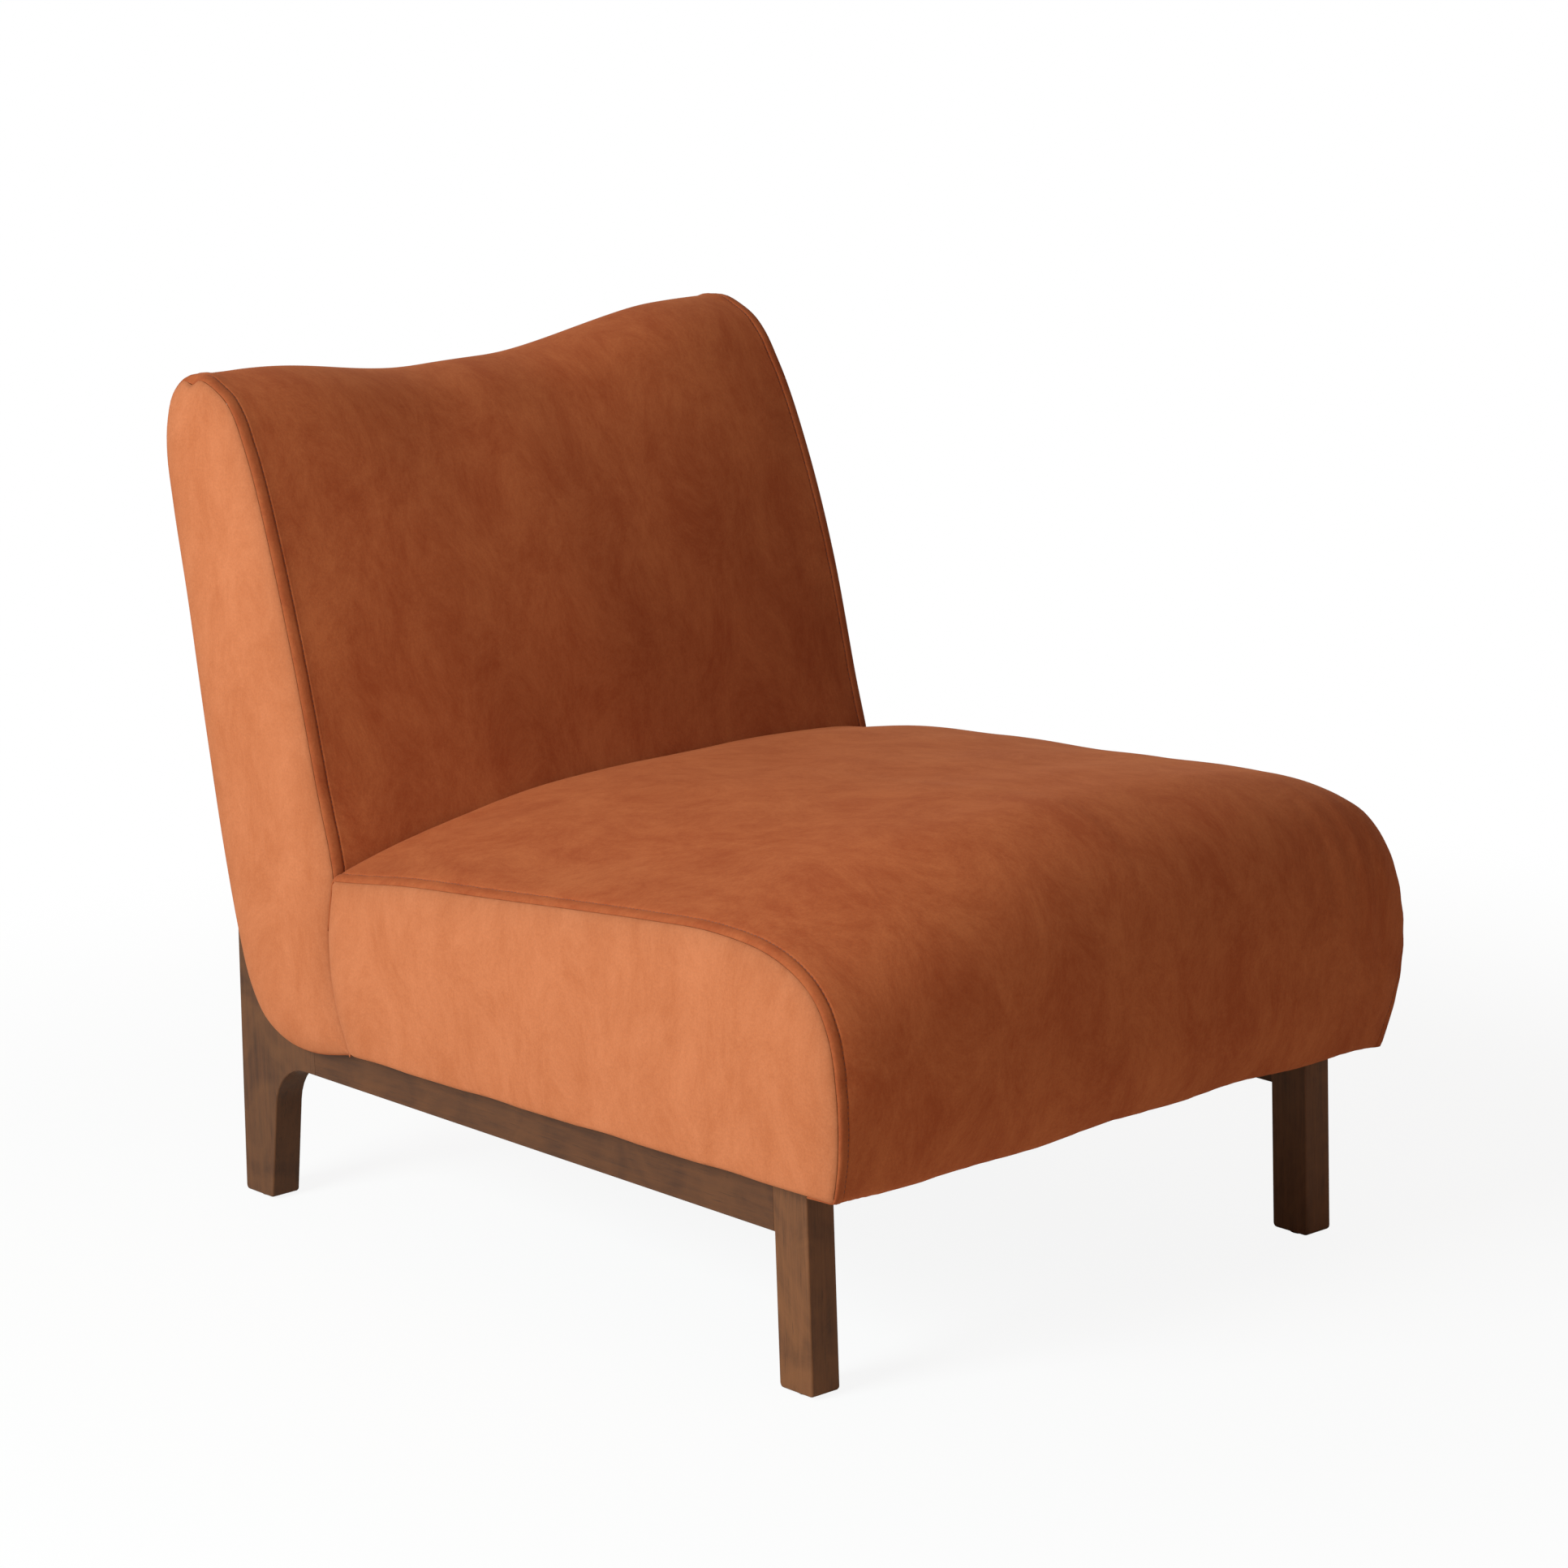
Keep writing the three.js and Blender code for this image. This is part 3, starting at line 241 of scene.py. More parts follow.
def spaced(width, lines, coarse=open_step):
    """Positions from 0 to width, alike from both ends and dense beside the given lines."""
    at = [0.0]
    while at[-1] < width / 2:
        near = min(abs(at[-1] - line) for line in lines)
        at.append(at[-1] + min(coarse, fine_step + step_growth * near))
    first = np.array(at[:-1])
    middle = np.linspace(first[-1], width - first[-1], 2 + int((width - 2 * first[-1]) / coarse))
    return np.concatenate([first, middle[1:-1], (width - first)[::-1]])


def along(line):
    """Distance along a line of points."""
    return np.concatenate([[0], np.cumsum(np.linalg.norm(np.diff(line, axis=0), axis=1))])


def at_distance(line, places):
    """Points of a line at the given distances along it."""
    distance = along(line)
    return np.stack([np.interp(places, distance, c) for c in line.T], axis=1)


def by_share(line, shares):
    """Points of a line at the given shares of its length."""
    return at_distance(line, shares * along(line)[-1])


def rounded(line, radius):
    """The line with its corners worn round, by a moving average that reaches radius each way."""
    even = at_distance(line, np.arange(0, along(line)[-1], walk_step))
    reach = int(radius / walk_step)
    ahead = 2 * even[-1] - even[-reach - 1:-1][::-1]
    behind = 2 * even[0] - even[1:reach + 1][::-1]
    weights = np.hanning(2 * reach + 3)[1:-1]
    weights /= weights.sum()
    longer = np.vstack([behind, even, ahead])
    return np.stack([np.convolve(c, weights, mode="valid") for c in longer.T], axis=1)


# %% [markdown]
# A panel between two side seams is made of many lengthwise lines. They are laid side by side, and
# each row across them is then spaced by its own true length, because the cloth is wider over the
# swollen middle than along its ends. So the row of stitches keeps its distance to the seam.

# %% Weave lengthwise lines into a grid
lines_across = 241
lengthwise_step = 6 * mm
stitch_inset = 11 * mm


def woven(line_at, half, ends=()):
    """The grid of a panel, with the distance to the nearer side seam and along the panel."""
    shares = np.sin(np.linspace(-1, 1, lines_across) * math.pi / 2)
    length = along(line_at(0))[-1]
    if ends:
        places = spaced(length, ends, lengthwise_step)
    else:
        places = np.linspace(0, length, int(length / lengthwise_step))
    lines = [by_share(line_at(share), places / length) for share in shares]
    columns = spaced(2 * half, [0, stitch_inset])
    grid, side = [], []
    for row in np.stack(lines, axis=1):
        width = along(row)[-1]
        open_share = (width - 2 * edge_zone) / (2 * half - 2 * edge_zone)
        at = np.where(
            columns < edge_zone,
            columns,
            np.where(
                columns > 2 * half - edge_zone,
                width - (2 * half - columns),
                edge_zone + (columns - edge_zone) * open_share,
            ),
        )
        grid.append(at_distance(row, at))
        side.append(np.minimum(at, width - at))
    return np.array(grid), np.array(side), np.repeat(places[:, None], len(columns), axis=1)


# %% [markdown]
# ## Seams
#
# At a seam two panels turn in together and leave a narrow valley. On the front panels a second row
# of stitches runs beside the seam and holds the folded edge down, so the strip between them stands
# up as a soft band and the cloth swells again behind it. All of this is a height above the plain
# surface, as a function of the distance to the seam.

# %% Height of the cloth beside a seam
seam_reach = 1.4 * mm
band_rise = 0.7 * mm
band_round = 0.7                 # below 1 the band has a broad top and steep edges
stitch_depth = 0.65 * mm
stitch_reach = 0.9 * mm
field_rise = 0.9 * mm
field_reach = 9 * mm
wave_rise = 0.6 * mm
wave_length = 170 * mm
wave_stretch = (0.7, 1.6)        # each wave's length lies between these shares of the given one
pucker_rise = 0.22 * mm
pucker_length = 17 * mm
pucker_reach = 9 * mm
rim_turn = 5 * mm                # within about this distance of a seam the cloth turns to it
draws = np.random.default_rng(11)


def valley(distance, depth=seam_depth, reach=seam_reach):
    """The cloth that is drawn in at a seam."""
    return -depth * np.exp(-distance / reach)


def topstitch(distance):
    """Band, groove and field beside a seam with a second row of stitches."""
    across = np.clip(distance / stitch_inset, 0, 1)
    band = band_rise * np.sin(math.pi * across) ** band_round
    groove = stitch_depth * np.exp(-(((distance - stitch_inset) / stitch_reach) ** 2))
    field = 1 - np.exp(-np.maximum(distance - stitch_inset, 0) / field_reach)
    return band - groove + field_rise * field


def waves(u, v, length, count=7):
    """Soft unevenness of about the given wavelength, mostly between -1 and 1."""
    total = np.zeros_like(u)
    for _ in range(count):
        angle, phase = draws.uniform(0, 2 * math.pi, 2)
        stretch = draws.uniform(*wave_stretch)
        across = u * math.cos(angle) + v * math.sin(angle)
        total += np.sin(2 * math.pi * across / (length * stretch) + phase)
    return total / count**0.5


def grid_normals(grid):
    """Unit normals of a grid of points."""
    normal = np.cross(np.gradient(grid, axis=0), np.gradient(grid, axis=1))
    return normal / np.maximum(np.linalg.norm(normal, axis=2), 1e-12)[:, :, None]


def faced(grid, side, towards):
    """Unit normals of a panel on the side that faces towards; at a side seam they lie across it."""
    normal = grid_normals(grid)
    if np.sum(normal * towards) < 0:
        normal = -normal
    normal[:, :, 0] *= 1 - np.exp(-side / rim_turn)
    return normal / np.linalg.norm(normal, axis=2)[:, :, None]


def behind_seam(distance, reach):
    """0 at a seam and 1 beyond the given reach behind it."""
    return np.clip(distance / reach, 0, 1)


def puckers(side, v):
    """Small ripples where the thread gathers the cloth beside the stitches."""
    ripple = waves(v, 0 * v, pucker_length, count=4)
    return pucker_rise * ripple * np.exp(-np.abs(side - stitch_inset) / pucker_reach)


# %% [markdown]
# A grid of points becomes a mesh with one face between each four neighbouring points. The UV map
# says where each point lies on the flat cloth, so that the pile can follow the weave.

# %% Turn a grid into a mesh
def grid_quads(rows, columns):
    """The faces of a grid, as four point numbers each."""
    at = np.arange(rows * columns).reshape(rows, columns)
    return np.stack([at[:-1, :-1], at[1:, :-1], at[1:, 1:], at[:-1, 1:]], axis=-1).reshape(-1, 4)


def placed(name, content):
    """An object for a mesh, a lamp or a camera, linked to the scene."""
    made = bpy.data.objects.new(name, content)
    bpy.context.scene.collection.objects.link(made)
    return made


def mesh_piece(name, points, faces, uv=None):
    """A smooth piece made of points and faces."""
    mesh = bpy.data.meshes.new(name)
    mesh.from_pydata(points.tolist(), [], faces.tolist())
    if uv is not None:
        corners = np.zeros(len(mesh.loops), np.int32)
        mesh.loops.foreach_get("vertex_index", corners)
        mesh.uv_layers.new(name="cloth").data.foreach_set("uv", uv[corners].ravel())
    mesh.polygons.foreach_set("use_smooth", np.ones(len(mesh.polygons), bool))
    mesh.update()
    return placed(name, mesh)


# %% [markdown]
# ## Cloth over foam
#
# Foam pushes the velvet outwards between its seams. A cloth simulation does the same: a coarse copy
# of the grid is held along its seams and blown up from inside for a few frames without gravity. The
# movement that comes out is limited, smoothed, and added to the fine grid.

# %% Let the foam swell the cloth
swell_cap = 3.5 * mm
swell_frames = 20
swell_pressure = 4
coarse_step = 3                  # every third thread of the grid is simulated
swell_smoothing = 60             # rounds of averaging, so that no crease of the coarse cloth stays


def swollen(name, grid, held):
    """How far each point of the grid moves when the cloth is blown up; held points stay."""
    rows = np.unique(np.append(np.arange(0, grid.shape[0], coarse_step), grid.shape[0] - 1))
    columns = np.unique(np.append(np.arange(0, grid.shape[1], coarse_step), grid.shape[1] - 1))
    coarse = grid[np.ix_(rows, columns)]
    pinned = np.flatnonzero(held[np.ix_(rows, columns)])
    sheet = mesh_piece(name, coarse.reshape(-1, 3), grid_quads(*coarse.shape[:2]))
    sheet.vertex_groups.new(name="seams").add(pinned.tolist(), 1, "REPLACE")
    cloth = sheet.modifiers.new("cloth", "CLOTH")
    cloth.settings.vertex_group_mass = "seams"
    cloth.settings.use_pressure = True
    cloth.settings.uniform_pressure_force = swell_pressure
    cloth.settings.effector_weights.gravity = 0
    cloth.point_cache.frame_end = swell_frames
    for number in range(1, swell_frames + 1):
        bpy.context.scene.frame_set(number)
    settled = sheet.evaluated_get(bpy.context.evaluated_depsgraph_get()).data
    moved = np.zeros(len(settled.vertices) * 3, np.float32)
    settled.vertices.foreach_get("co", moved)
    move = moved.reshape(coarse.shape) - coarse
    bpy.data.objects.remove(sheet)
    bpy.context.scene.frame_set(1)
    size = np.maximum(np.linalg.norm(move, axis=2, keepdims=True), 1e-9)
    move *= swell_cap * np.tanh(size / swell_cap) / size
    free = 1 - held[np.ix_(rows, columns)][:, :, None]
    for _ in range(swell_smoothing):
        move[1:-1] = (move[:-2] + 2 * move[1:-1] + move[2:]) / 4
        move[:, 1:-1] = (move[:, :-2] + 2 * move[:, 1:-1] + move[:, 2:]) / 4
        move *= free
    print(name, "swells by up to", round(float(np.linalg.norm(move, axis=2).max()) / mm, 1), "mm")
    for axis, places in enumerate((rows, columns)):
        every = np.arange(grid.shape[axis])
        move = np.apply_along_axis(lambda c: np.interp(every, places, c), axis, move)
    return move


# %% [markdown]
# The covers are thin closed sheets. Each one also stores how much the velvet is darkened at its
# points. Beside a seam this is partly crushed pile and partly painted shade in the hollow of the
# seam. Along the left edge of the seat it is painted shade alone.

# %% Turn a grid into a closed sheet of cloth
flat_pile_and_shade_reach = 9 * mm
# the side panels get a wider strip: painted shade under the roll of the foam below the seam
flat_pile_and_shade_reach_sides = 15 * mm


def flat_pile_and_shade_at(distance, reach=flat_pile_and_shade_reach):
    """Darkening at a distance from a seam, 0 to 1: crushed pile and painted shade."""
    return np.exp(-distance / reach)


def cloth_piece(name, grid, u, v, flat_pile_and_shade, outside):
    """A closed sheet: the grid, a second one a thickness inside it, and a rim between them."""
    if np.sum(grid_normals(grid) * outside) < 0:
        grid, u, v, flat_pile_and_shade = (array[:, ::-1] for array in (grid, u, v, flat_pile_and_shade))
    rows, columns = grid.shape[:2]
    inner = grid - grid_normals(grid) * cloth_thickness
    points = np.vstack([grid.reshape(-1, 3), inner.reshape(-1, 3)])
    at = np.arange(rows * columns).reshape(rows, columns)
    quads = grid_quads(rows, columns)
    border = np.concatenate([at[:-1, 0], at[-1, :-1], at[:0:-1, -1], at[0, :0:-1]])
    following = np.roll(border, -1)
    below = rows * columns
    rim = np.stack([following, border, border + below, following + below], axis=1)
    uv = np.tile(np.stack([u.ravel(), v.ravel()], axis=1), (2, 1)).astype(np.float32)
    piece = mesh_piece(name, points, np.vstack([quads, quads[:, ::-1] + below, rim]), uv)
    # how much the velvet is darkened here: crushed pile and painted shade
    flat_pile_and_shade = np.tile(flat_pile_and_shade.ravel(), 2).astype(np.float32)
    piece.data.attributes.new("flat_pile_and_shade", "FLOAT", "POINT").data.foreach_set("value", flat_pile_and_shade)
    return piece


# %% [markdown]
# ## Seat: the panel over the top and the front
#
# One length of velvet comes up from the crease behind the sitter, runs forward over the seat, rolls
# down the front and is turned under and stapled. It starts down in the crease, along the front of
# the back, so that the seat presses against the back with a soft rounded edge.

# %% Lines of the seat panel
crease_gap = 1.2 * mm
tuck_depth = 50 * mm
tuck_steps = 30
turn_under = 45 * mm
crease_radius = 9 * mm
hem_radius = 6 * mm


def back_front_at(x):
    """The front of the back at x, from its foot to its top."""
    section = back_section(np.clip(x / (back_half - seam_inset), -1, 1))
    return section[:apex]


def seat_panel_line(share):
    """The seat panel's line at a share of the half width, from its tuck to its hem."""
    section = seat_section(share)
    front = back_front_at(section[0, 0])
    wall = np.interp(section[:, 2], front[:, 2], front[:, 1]) - crease_gap
    top = section[section[:, 1] < wall]
    levels = np.linspace(top[0, 2] - tuck_depth, top[0, 2], tuck_steps, endpoint=False)
    behind = np.interp(levels, front[:, 2], front[:, 1]) - crease_gap
    tuck = np.column_stack([np.full(tuck_steps, top[0, 0]), behind, levels])
    hem_y = nose_y + turn_under
    hem = [[top[0, 0], hem_y, underside_at(hem_y)]]
    upper = rounded(np.vstack([tuck, top]), crease_radius)
    return rounded(np.vstack([upper, hem]), hem_radius)


print("length of the seat panel:", round(along(seat_panel_line(0))[-1], 3), "m")

# %% [markdown]
# Here and there the thread or a staple pulls both panels beside a seam. The lower front corner on
# the right is folded under tightly, and at the top corners of the back the seam bites into the
# foam. Such a pull moves every point near one place, so both panels stay together along the seam.

# %% Places where the cloth is pulled
apex_place = (back_half - shoulder_draw, *back_loop[apex, :2])
apex_pull = 7 * mm
apex_reach = 9 * mm
apex_band = 2 * mm               # the folded edge stands up more where it goes over the top
apex_band_length = 30 * mm
corner_place = (seat_half, *seat_line[-1, :2])
corner_pulls = [
    (corner_place, (-7 * mm, 3 * mm, -2 * mm), 65 * mm),
    (corner_place, (-2 * mm, 1 * mm, -4 * mm), 22 * mm),
]
apex_pulls = [
    ((sign * apex_place[0], *apex_place[1:]), (0, 0, -apex_pull), apex_reach) for sign in (-1, 1)
]


def pulled(grid, pulls):
    """The grid with each pull, a place, a shift and a reach, laid over it."""
    moved = grid.copy()
    for place, shift, reach in pulls:
        away = np.linalg.norm(grid - np.array(place), axis=2, keepdims=True)
        moved += np.array(shift) * np.exp(-((away / reach) ** 2))
    return moved


# %% [markdown]
# The cloth is not quite even. It is pulled down a little at the far end of the front, where soft
# upright folds show, and the turned-under edge waves between its staples.

# %% Build the seat panel
hem_wave = 2.2 * mm
hem_wave_length = 150 * mm
hem_reach = 70 * mm
fold_rise = 0.9 * mm
fold_pitch = 27 * mm
fold_middle = 275 * mm
fold_spread = 60 * mm
# painted shade along the left edge of the top of the seat
left_edge_shade_share = 0.75
left_edge_shade_reach = 75 * mm
left_edge_shade_end = 130 * mm            # the strip of painted shade ends this far before the end of the cloth
left_edge_shade_fade = 150 * mm
nose_middle = 190 * mm           # the front of the nose, this far before the end of the cloth
nose_reach = 110 * mm
open_reach = 30 * mm             # from here on the cloth is free of its stitches
held_margin = 2 * mm

seat_grid, seat_side, seat_down = woven(seat_panel_line, seat_half)
seat_out = faced(seat_grid, seat_side, (0, -1, 1))
x, y, z = seat_grid[:, :, 0], seat_grid[:, :, 1], seat_grid[:, :, 2]
from_end = seat_down.max() - seat_down
on_nose = np.exp(-(((from_end - nose_middle) / nose_reach) ** 2))
soft = behind_seam(seat_side - stitch_inset, open_reach)
height = valley(seat_side) + topstitch(seat_side) + puckers(seat_side, seat_down)
height += wave_rise * waves(x, seat_down, wave_length) * soft
folds = np.exp(-(((x - fold_middle) / fold_spread) ** 2)) * on_nose * soft
height += fold_rise * folds * np.sin(2 * math.pi * x / fold_pitch)
seat_grid = seat_grid + seat_out * height[:, :, None]
hem_fade = np.clip(1 - (from_end - turn_under) / hem_reach, 0, 1) ** 2 * soft
seat_grid[:, :, 2] += hem_wave * hem_fade * waves(x, 0 * x, hem_wave_length, count=4)
held = seat_side < stitch_inset + held_margin
held |= (seat_down < tuck_depth) | (from_end < turn_under)
seat_grid = pulled(seat_grid + swollen("seat_swell", seat_grid, held), corner_pulls)
# painted shade along the left edge of the seat, joined to the darkening beside the seams
left_edge_shade = left_edge_shade_share * flat_pile_and_shade_at(seat_side, left_edge_shade_reach) * (x < 0)
left_edge_shade *= behind_seam(from_end - left_edge_shade_end, left_edge_shade_fade)
seat_flat_pile_and_shade = np.maximum(flat_pile_and_shade_at(seat_side), left_edge_shade)
seat_top_panel = cloth_piece("seat_top_panel", seat_grid, x, seat_down, seat_flat_pile_and_shade, seat_out)
print("seat panel:", seat_grid.shape[:2], "threads,", len(seat_top_panel.data.polygons), "faces")

# %% [markdown]
# ## Back: the front panel and the outside panel
#
# The front panel starts below the seat, goes up the front of the back and over its top edge, and is
# sewn to the outside panel a little way down the rear. The outside panel goes on from there, round
# the heel and under the back. It has no second row of stitches, because it is fastened last.

# %% Build the two back panels
rear_seam_z = back_top_z - rear_seam_drop
loop_z = back_loop[:, 1]
rear_seam = apex + int(np.argmax(loop_z[apex:] < rear_seam_z))
front_start = int(np.argmax(loop_z > underside_height + heel_drop))
pressed_below = 300 * mm         # up to here the wooden frames press against the cloth
pressed_fade = 60 * mm
rear_reach = 60 * mm
covered_below = 330 * mm         # up to here the seat covers the front of the back
seam_hold = 6 * mm


def back_front_line(share):
    """The front panel's line at a share of the half width."""
    return back_section(share)[front_start:rear_seam + 1]


def back_rear_line(share):
    """The outside panel's line at a share of the half width."""
    return back_section(share)[rear_seam:]


front_grid, front_side, front_down = woven(back_front_line, back_half, ends=[0])
front_out = faced(front_grid, front_side, (0, -1, 0))
to_seam = front_down.max() - front_down
soft = behind_seam(front_side - stitch_inset, open_reach) * behind_seam(to_seam, open_reach)
height = np.minimum(valley(front_side), valley(to_seam))
height += topstitch(front_side) + puckers(front_side, front_down)
apex_down = along(back_section(0)[front_start:apex + 1])[-1]
at_apex = np.exp(-(((front_down - apex_down) / apex_band_length) ** 2))
height += apex_band * at_apex * np.sin(math.pi * np.clip(front_side / (2 * stitch_inset), 0, 1))
height += wave_rise * waves(front_grid[:, :, 0], front_down, wave_length) * soft
front_grid = front_grid + front_out * height[:, :, None]
held = front_side < stitch_inset + held_margin
held |= (to_seam < seam_hold) | (front_grid[:, :, 2] < covered_below)
front_grid = pulled(front_grid + swollen("back_swell", front_grid, held), apex_pulls)
front_edge = np.minimum(front_side, to_seam)
back_front_panel = cloth_piece(
    "back_front_panel", front_grid, front_grid[:, :, 0], front_down, flat_pile_and_shade_at(front_edge),
    front_out
)

rear_grid, rear_side, rear_down = woven(back_rear_line, back_half, ends=[0])
rear_out = faced(rear_grid, rear_side, (0, 1, 0))
height = np.minimum(valley(rear_side), valley(rear_down))
soft = behind_seam(rear_side, rear_reach) * behind_seam(rear_down, rear_reach)
soft *= behind_seam(rear_grid[:, :, 2] - pressed_below, pressed_fade)
height += wave_rise * waves(rear_grid[:, :, 0], rear_down, wave_length) * soft
rear_grid = rear_grid + rear_out * height[:, :, None]
rear_edge = np.minimum(rear_side, rear_down)
outside_back_panel = cloth_piece(
    "outside_back_panel", rear_grid, rear_grid[:, :, 0], rear_down, flat_pile_and_shade_at(rear_edge),
    rear_out
)
print("front panel:", front_grid.shape[:2], "threads, outside panel:", rear_grid.shape[:2])

# %% [markdown]
# ## Side panels
#
# A side panel is cut flat to the outline of the seam and swells a little over its padding. Its grid
# is filled in between the lines around it. The distance of each point to the seam then gives both
# the narrow valley at the edge and the soft pillow behind it.

# %% Flat outlines and the distance to them
side_bulge_seat = 2.2 * mm
side_bulge_back = 1.7 * mm
bulge_reach = 30 * mm
edge_roll = 3.4 * mm             # the foam rolls over towards the seam within a short way
roll_reach = 11 * mm
side_wave = 0.35 * mm
side_step = 7 * mm


def inset_line(line, normals, amount):
    """The line drawn in against its normals."""
    return line[:, :2] - normals * amount


def pillow_at(distance, bulge):
    """Swell of a side panel at a distance from its edge."""
    roll = edge_roll * (1 - np.exp(-distance / roll_reach))
    return bulge * (1 - np.exp(-distance / bulge_reach)) + roll


def side_shares(size):
    """Places for the threads of a side panel, as shares of its size."""
    places = spaced(size, [0], side_step)
    return places / places[-1]


def side_waves(flat, edge):
    """Unevenness of a side panel, away from its edge."""
    uneven = side_wave * waves(flat[:, :, 0], flat[:, :, 1], wave_length / 2)
    return uneven * behind_seam(edge, bulge_reach)


def distance_to(points, line):
    """Distance of each (y, z) point to a line of straight stretches."""
    start, stretch = line[:-1], np.diff(line, axis=0)
    square = np.maximum((stretch**2).sum(axis=1), 1e-18)
    near = []
    for point in points.reshape(-1, 2):
        way = np.clip(((point - start) * stretch).sum(axis=1) / square, 0, 1)
        near.append(np.linalg.norm(point - start - way[:, None] * stretch, axis=1).min())
    return np.array(near).reshape(points.shape[:-1])


# %% Build the side panels of the back
loop_inset = inset_line(back_loop, back_normals, seam_inset)
front_rim = loop_inset[: apex + 1]
rear_rim = loop_inset[apex:][::-1]
climb = side_shares(back_height)
stride = side_shares(back_reach)[None, :, None]
flat_back = by_share(front_rim, climb)[:, None] * (1 - stride)
flat_back = flat_back + by_share(rear_rim, climb)[:, None] * stride
back_edge = distance_to(flat_back, loop_inset)
pillow = pillow_at(back_edge, side_bulge_back) + valley(back_edge)
back_side_panels = {}
for side, sign in (("left", -1), ("right", 1)):
    uneven = side_waves(flat_back, back_edge)
    x = sign * (back_half - shoulder_at(flat_back[:, :, 1]) + pillow + uneven)
    grid = pulled(np.concatenate([x[:, :, None], flat_back], axis=2), apex_pulls)
    back_side_panels[side] = cloth_piece(
        f"back_side_panel_{side}", grid, flat_back[:, :, 0], flat_back[:, :, 1],
        flat_pile_and_shade_at(back_edge, flat_pile_and_shade_reach_sides), [sign, 0, 0]
    )
print("side panel of the back:", flat_back.shape[:2], "threads")

# %% [markdown]
# The side panel of the seat has four edges: the upright seam at the back, the long seam on top, the
# rounded seam down the front, and the lower edge, which is turned under and stapled beneath the
# seat. A Coons patch fills the space between four such lines. Where this panel meets the back it is
# rolled in further, because the back is a little narrower than the seat.

# %% Build the side panels of the seat
upright_gap = 0.7 * mm
upright_depth = 8.5 * mm
upright_reach = 4 * mm
lower_round = 6 * mm
lower_fade = 20 * mm
side_turn_under = 26 * mm
side_turn_threads = 12
lower_wave = 0.9 * mm
lower_wave_length = 110 * mm

seat_inset = inset_line(seat_line, seat_normals, seam_inset)
upright = back_loop[:apex, :2] - [upright_gap, 0]
crease = np.argmax(seat_inset[:, 0] < np.interp(seat_inset[:, 1], upright[:, 1], upright[:, 0]))
split = int(nose_split * points_per_span)
foot_z = underside_at(back_foot_y)
keep = (upright[:, 1] > foot_z) & (upright[:, 1] < seat_inset[crease, 1])
rear_line = np.vstack([upright[keep], seat_inset[crease]])
top_line = seat_inset[crease:split + 1]
nose_line = seat_inset[split:][::-1]
lower_line = np.vstack([rear_line[0], nose_line[0]])
u = side_shares(seat_length)[None, :, None]
v = side_shares(seat_thickness)[:, None, None]
below, above = by_share(lower_line, u.ravel())[None], by_share(top_line, u.ravel())[None]
behind, ahead = by_share(rear_line, v.ravel())[:, None], by_share(nose_line, v.ravel())[:, None]
corners = (
    (1 - u) * (1 - v) * rear_line[0] + u * (1 - v) * nose_line[0]
    + (1 - u) * v * rear_line[-1] + u * v * nose_line[-1]
)
flat_seat = (1 - v) * below + v * above + (1 - u) * behind + u * ahead - corners
to_rear = distance_to(flat_seat, rear_line)
to_seam = np.minimum(distance_to(flat_seat, top_line), distance_to(flat_seat, nose_line))
to_lower = flat_seat[:, :, 1] - np.interp(
    flat_seat[:, :, 0], lower_line[::-1, 0], lower_line[::-1, 1]
)


def corner_drop(distance, radius):
    """How far a rounded corner falls away from a flat side, near the edge of that side."""
    return radius - np.sqrt(np.maximum(radius**2 - np.maximum(radius - distance, 0) ** 2, 0))


pillow = pillow_at(np.minimum(np.minimum(to_seam, to_rear), to_lower), side_bulge_seat)
pillow += np.minimum(valley(to_seam), valley(to_rear, upright_depth, upright_reach))
pillow -= corner_drop(to_lower, lower_round)
turned = np.linspace(side_turn_under, 0, side_turn_threads, endpoint=False)


def with_strip(array):
    """The array with its first row repeated for the strip that is turned under."""
    return np.vstack([np.repeat(array[:1], side_turn_threads, axis=0), array])


seat_side_panels = {}
for side, sign in (("left", -1), ("right", 1)):
    uneven = side_waves(flat_seat, np.minimum(to_seam, to_lower))
    x = (seat_half + pillow + uneven)[:, :, None]
    grid = with_strip(np.concatenate([x, flat_seat], axis=2))
    grid[:side_turn_threads, :, 0] -= turned[:, None]
    hem = waves(grid[:, :, 1], 0 * grid[:, :, 1], lower_wave_length, count=4)
    fade = np.exp(-np.maximum(grid[:, :, 2] - underside_at(grid[:, :, 1]), 0) / lower_fade)
    grid[:, :, 2] += lower_wave * np.maximum(hem, 0) * fade
    grid[:, :, 0] *= sign
    grid = pulled(grid, corner_pulls)
    across = with_strip(flat_seat[:, :, 1])
    across[:side_turn_threads] -= turned[:, None]
    edge = with_strip(np.minimum(to_seam, to_rear))
    seat_side_panels[side] = cloth_piece(
        f"seat_side_panel_{side}", grid, grid[:, :, 1], across,
        flat_pile_and_shade_at(edge, flat_pile_and_shade_reach_sides), [sign, 0, 0]
    )
print("side panel of the seat:", grid.shape[:2], "threads")

# %% [markdown]
# ## Stitches
#
# A stitch is a short piece of thread that dips into the cloth at both ends. It repeats hundreds of
# times along a line, so Geometry Nodes do the work: the line is cut into equal steps, and each step
# gets a small stretched sphere that follows the direction of the line.

# %% Lines of the topstitching
stitch_pitch = 4.6 * mm
stitch_length = 3.1 * mm
thread_width = 0.85 * mm
stitch_wander = 0.12             # how far a stitch may turn away from its line


def stitch_lines(grid, side, rows):
    """The two lines at the stitching distance from the side seams, over the given rows."""
    half = grid.shape[1] // 2
    lines = []
    for part in (slice(0, half), slice(grid.shape[1] - 1, half, -1)):
        lines.append(np.array([
            [np.interp(stitch_inset, side[row, part], grid[row, part, k]) for k in range(3)]
            for row in rows
        ]))
    return lines


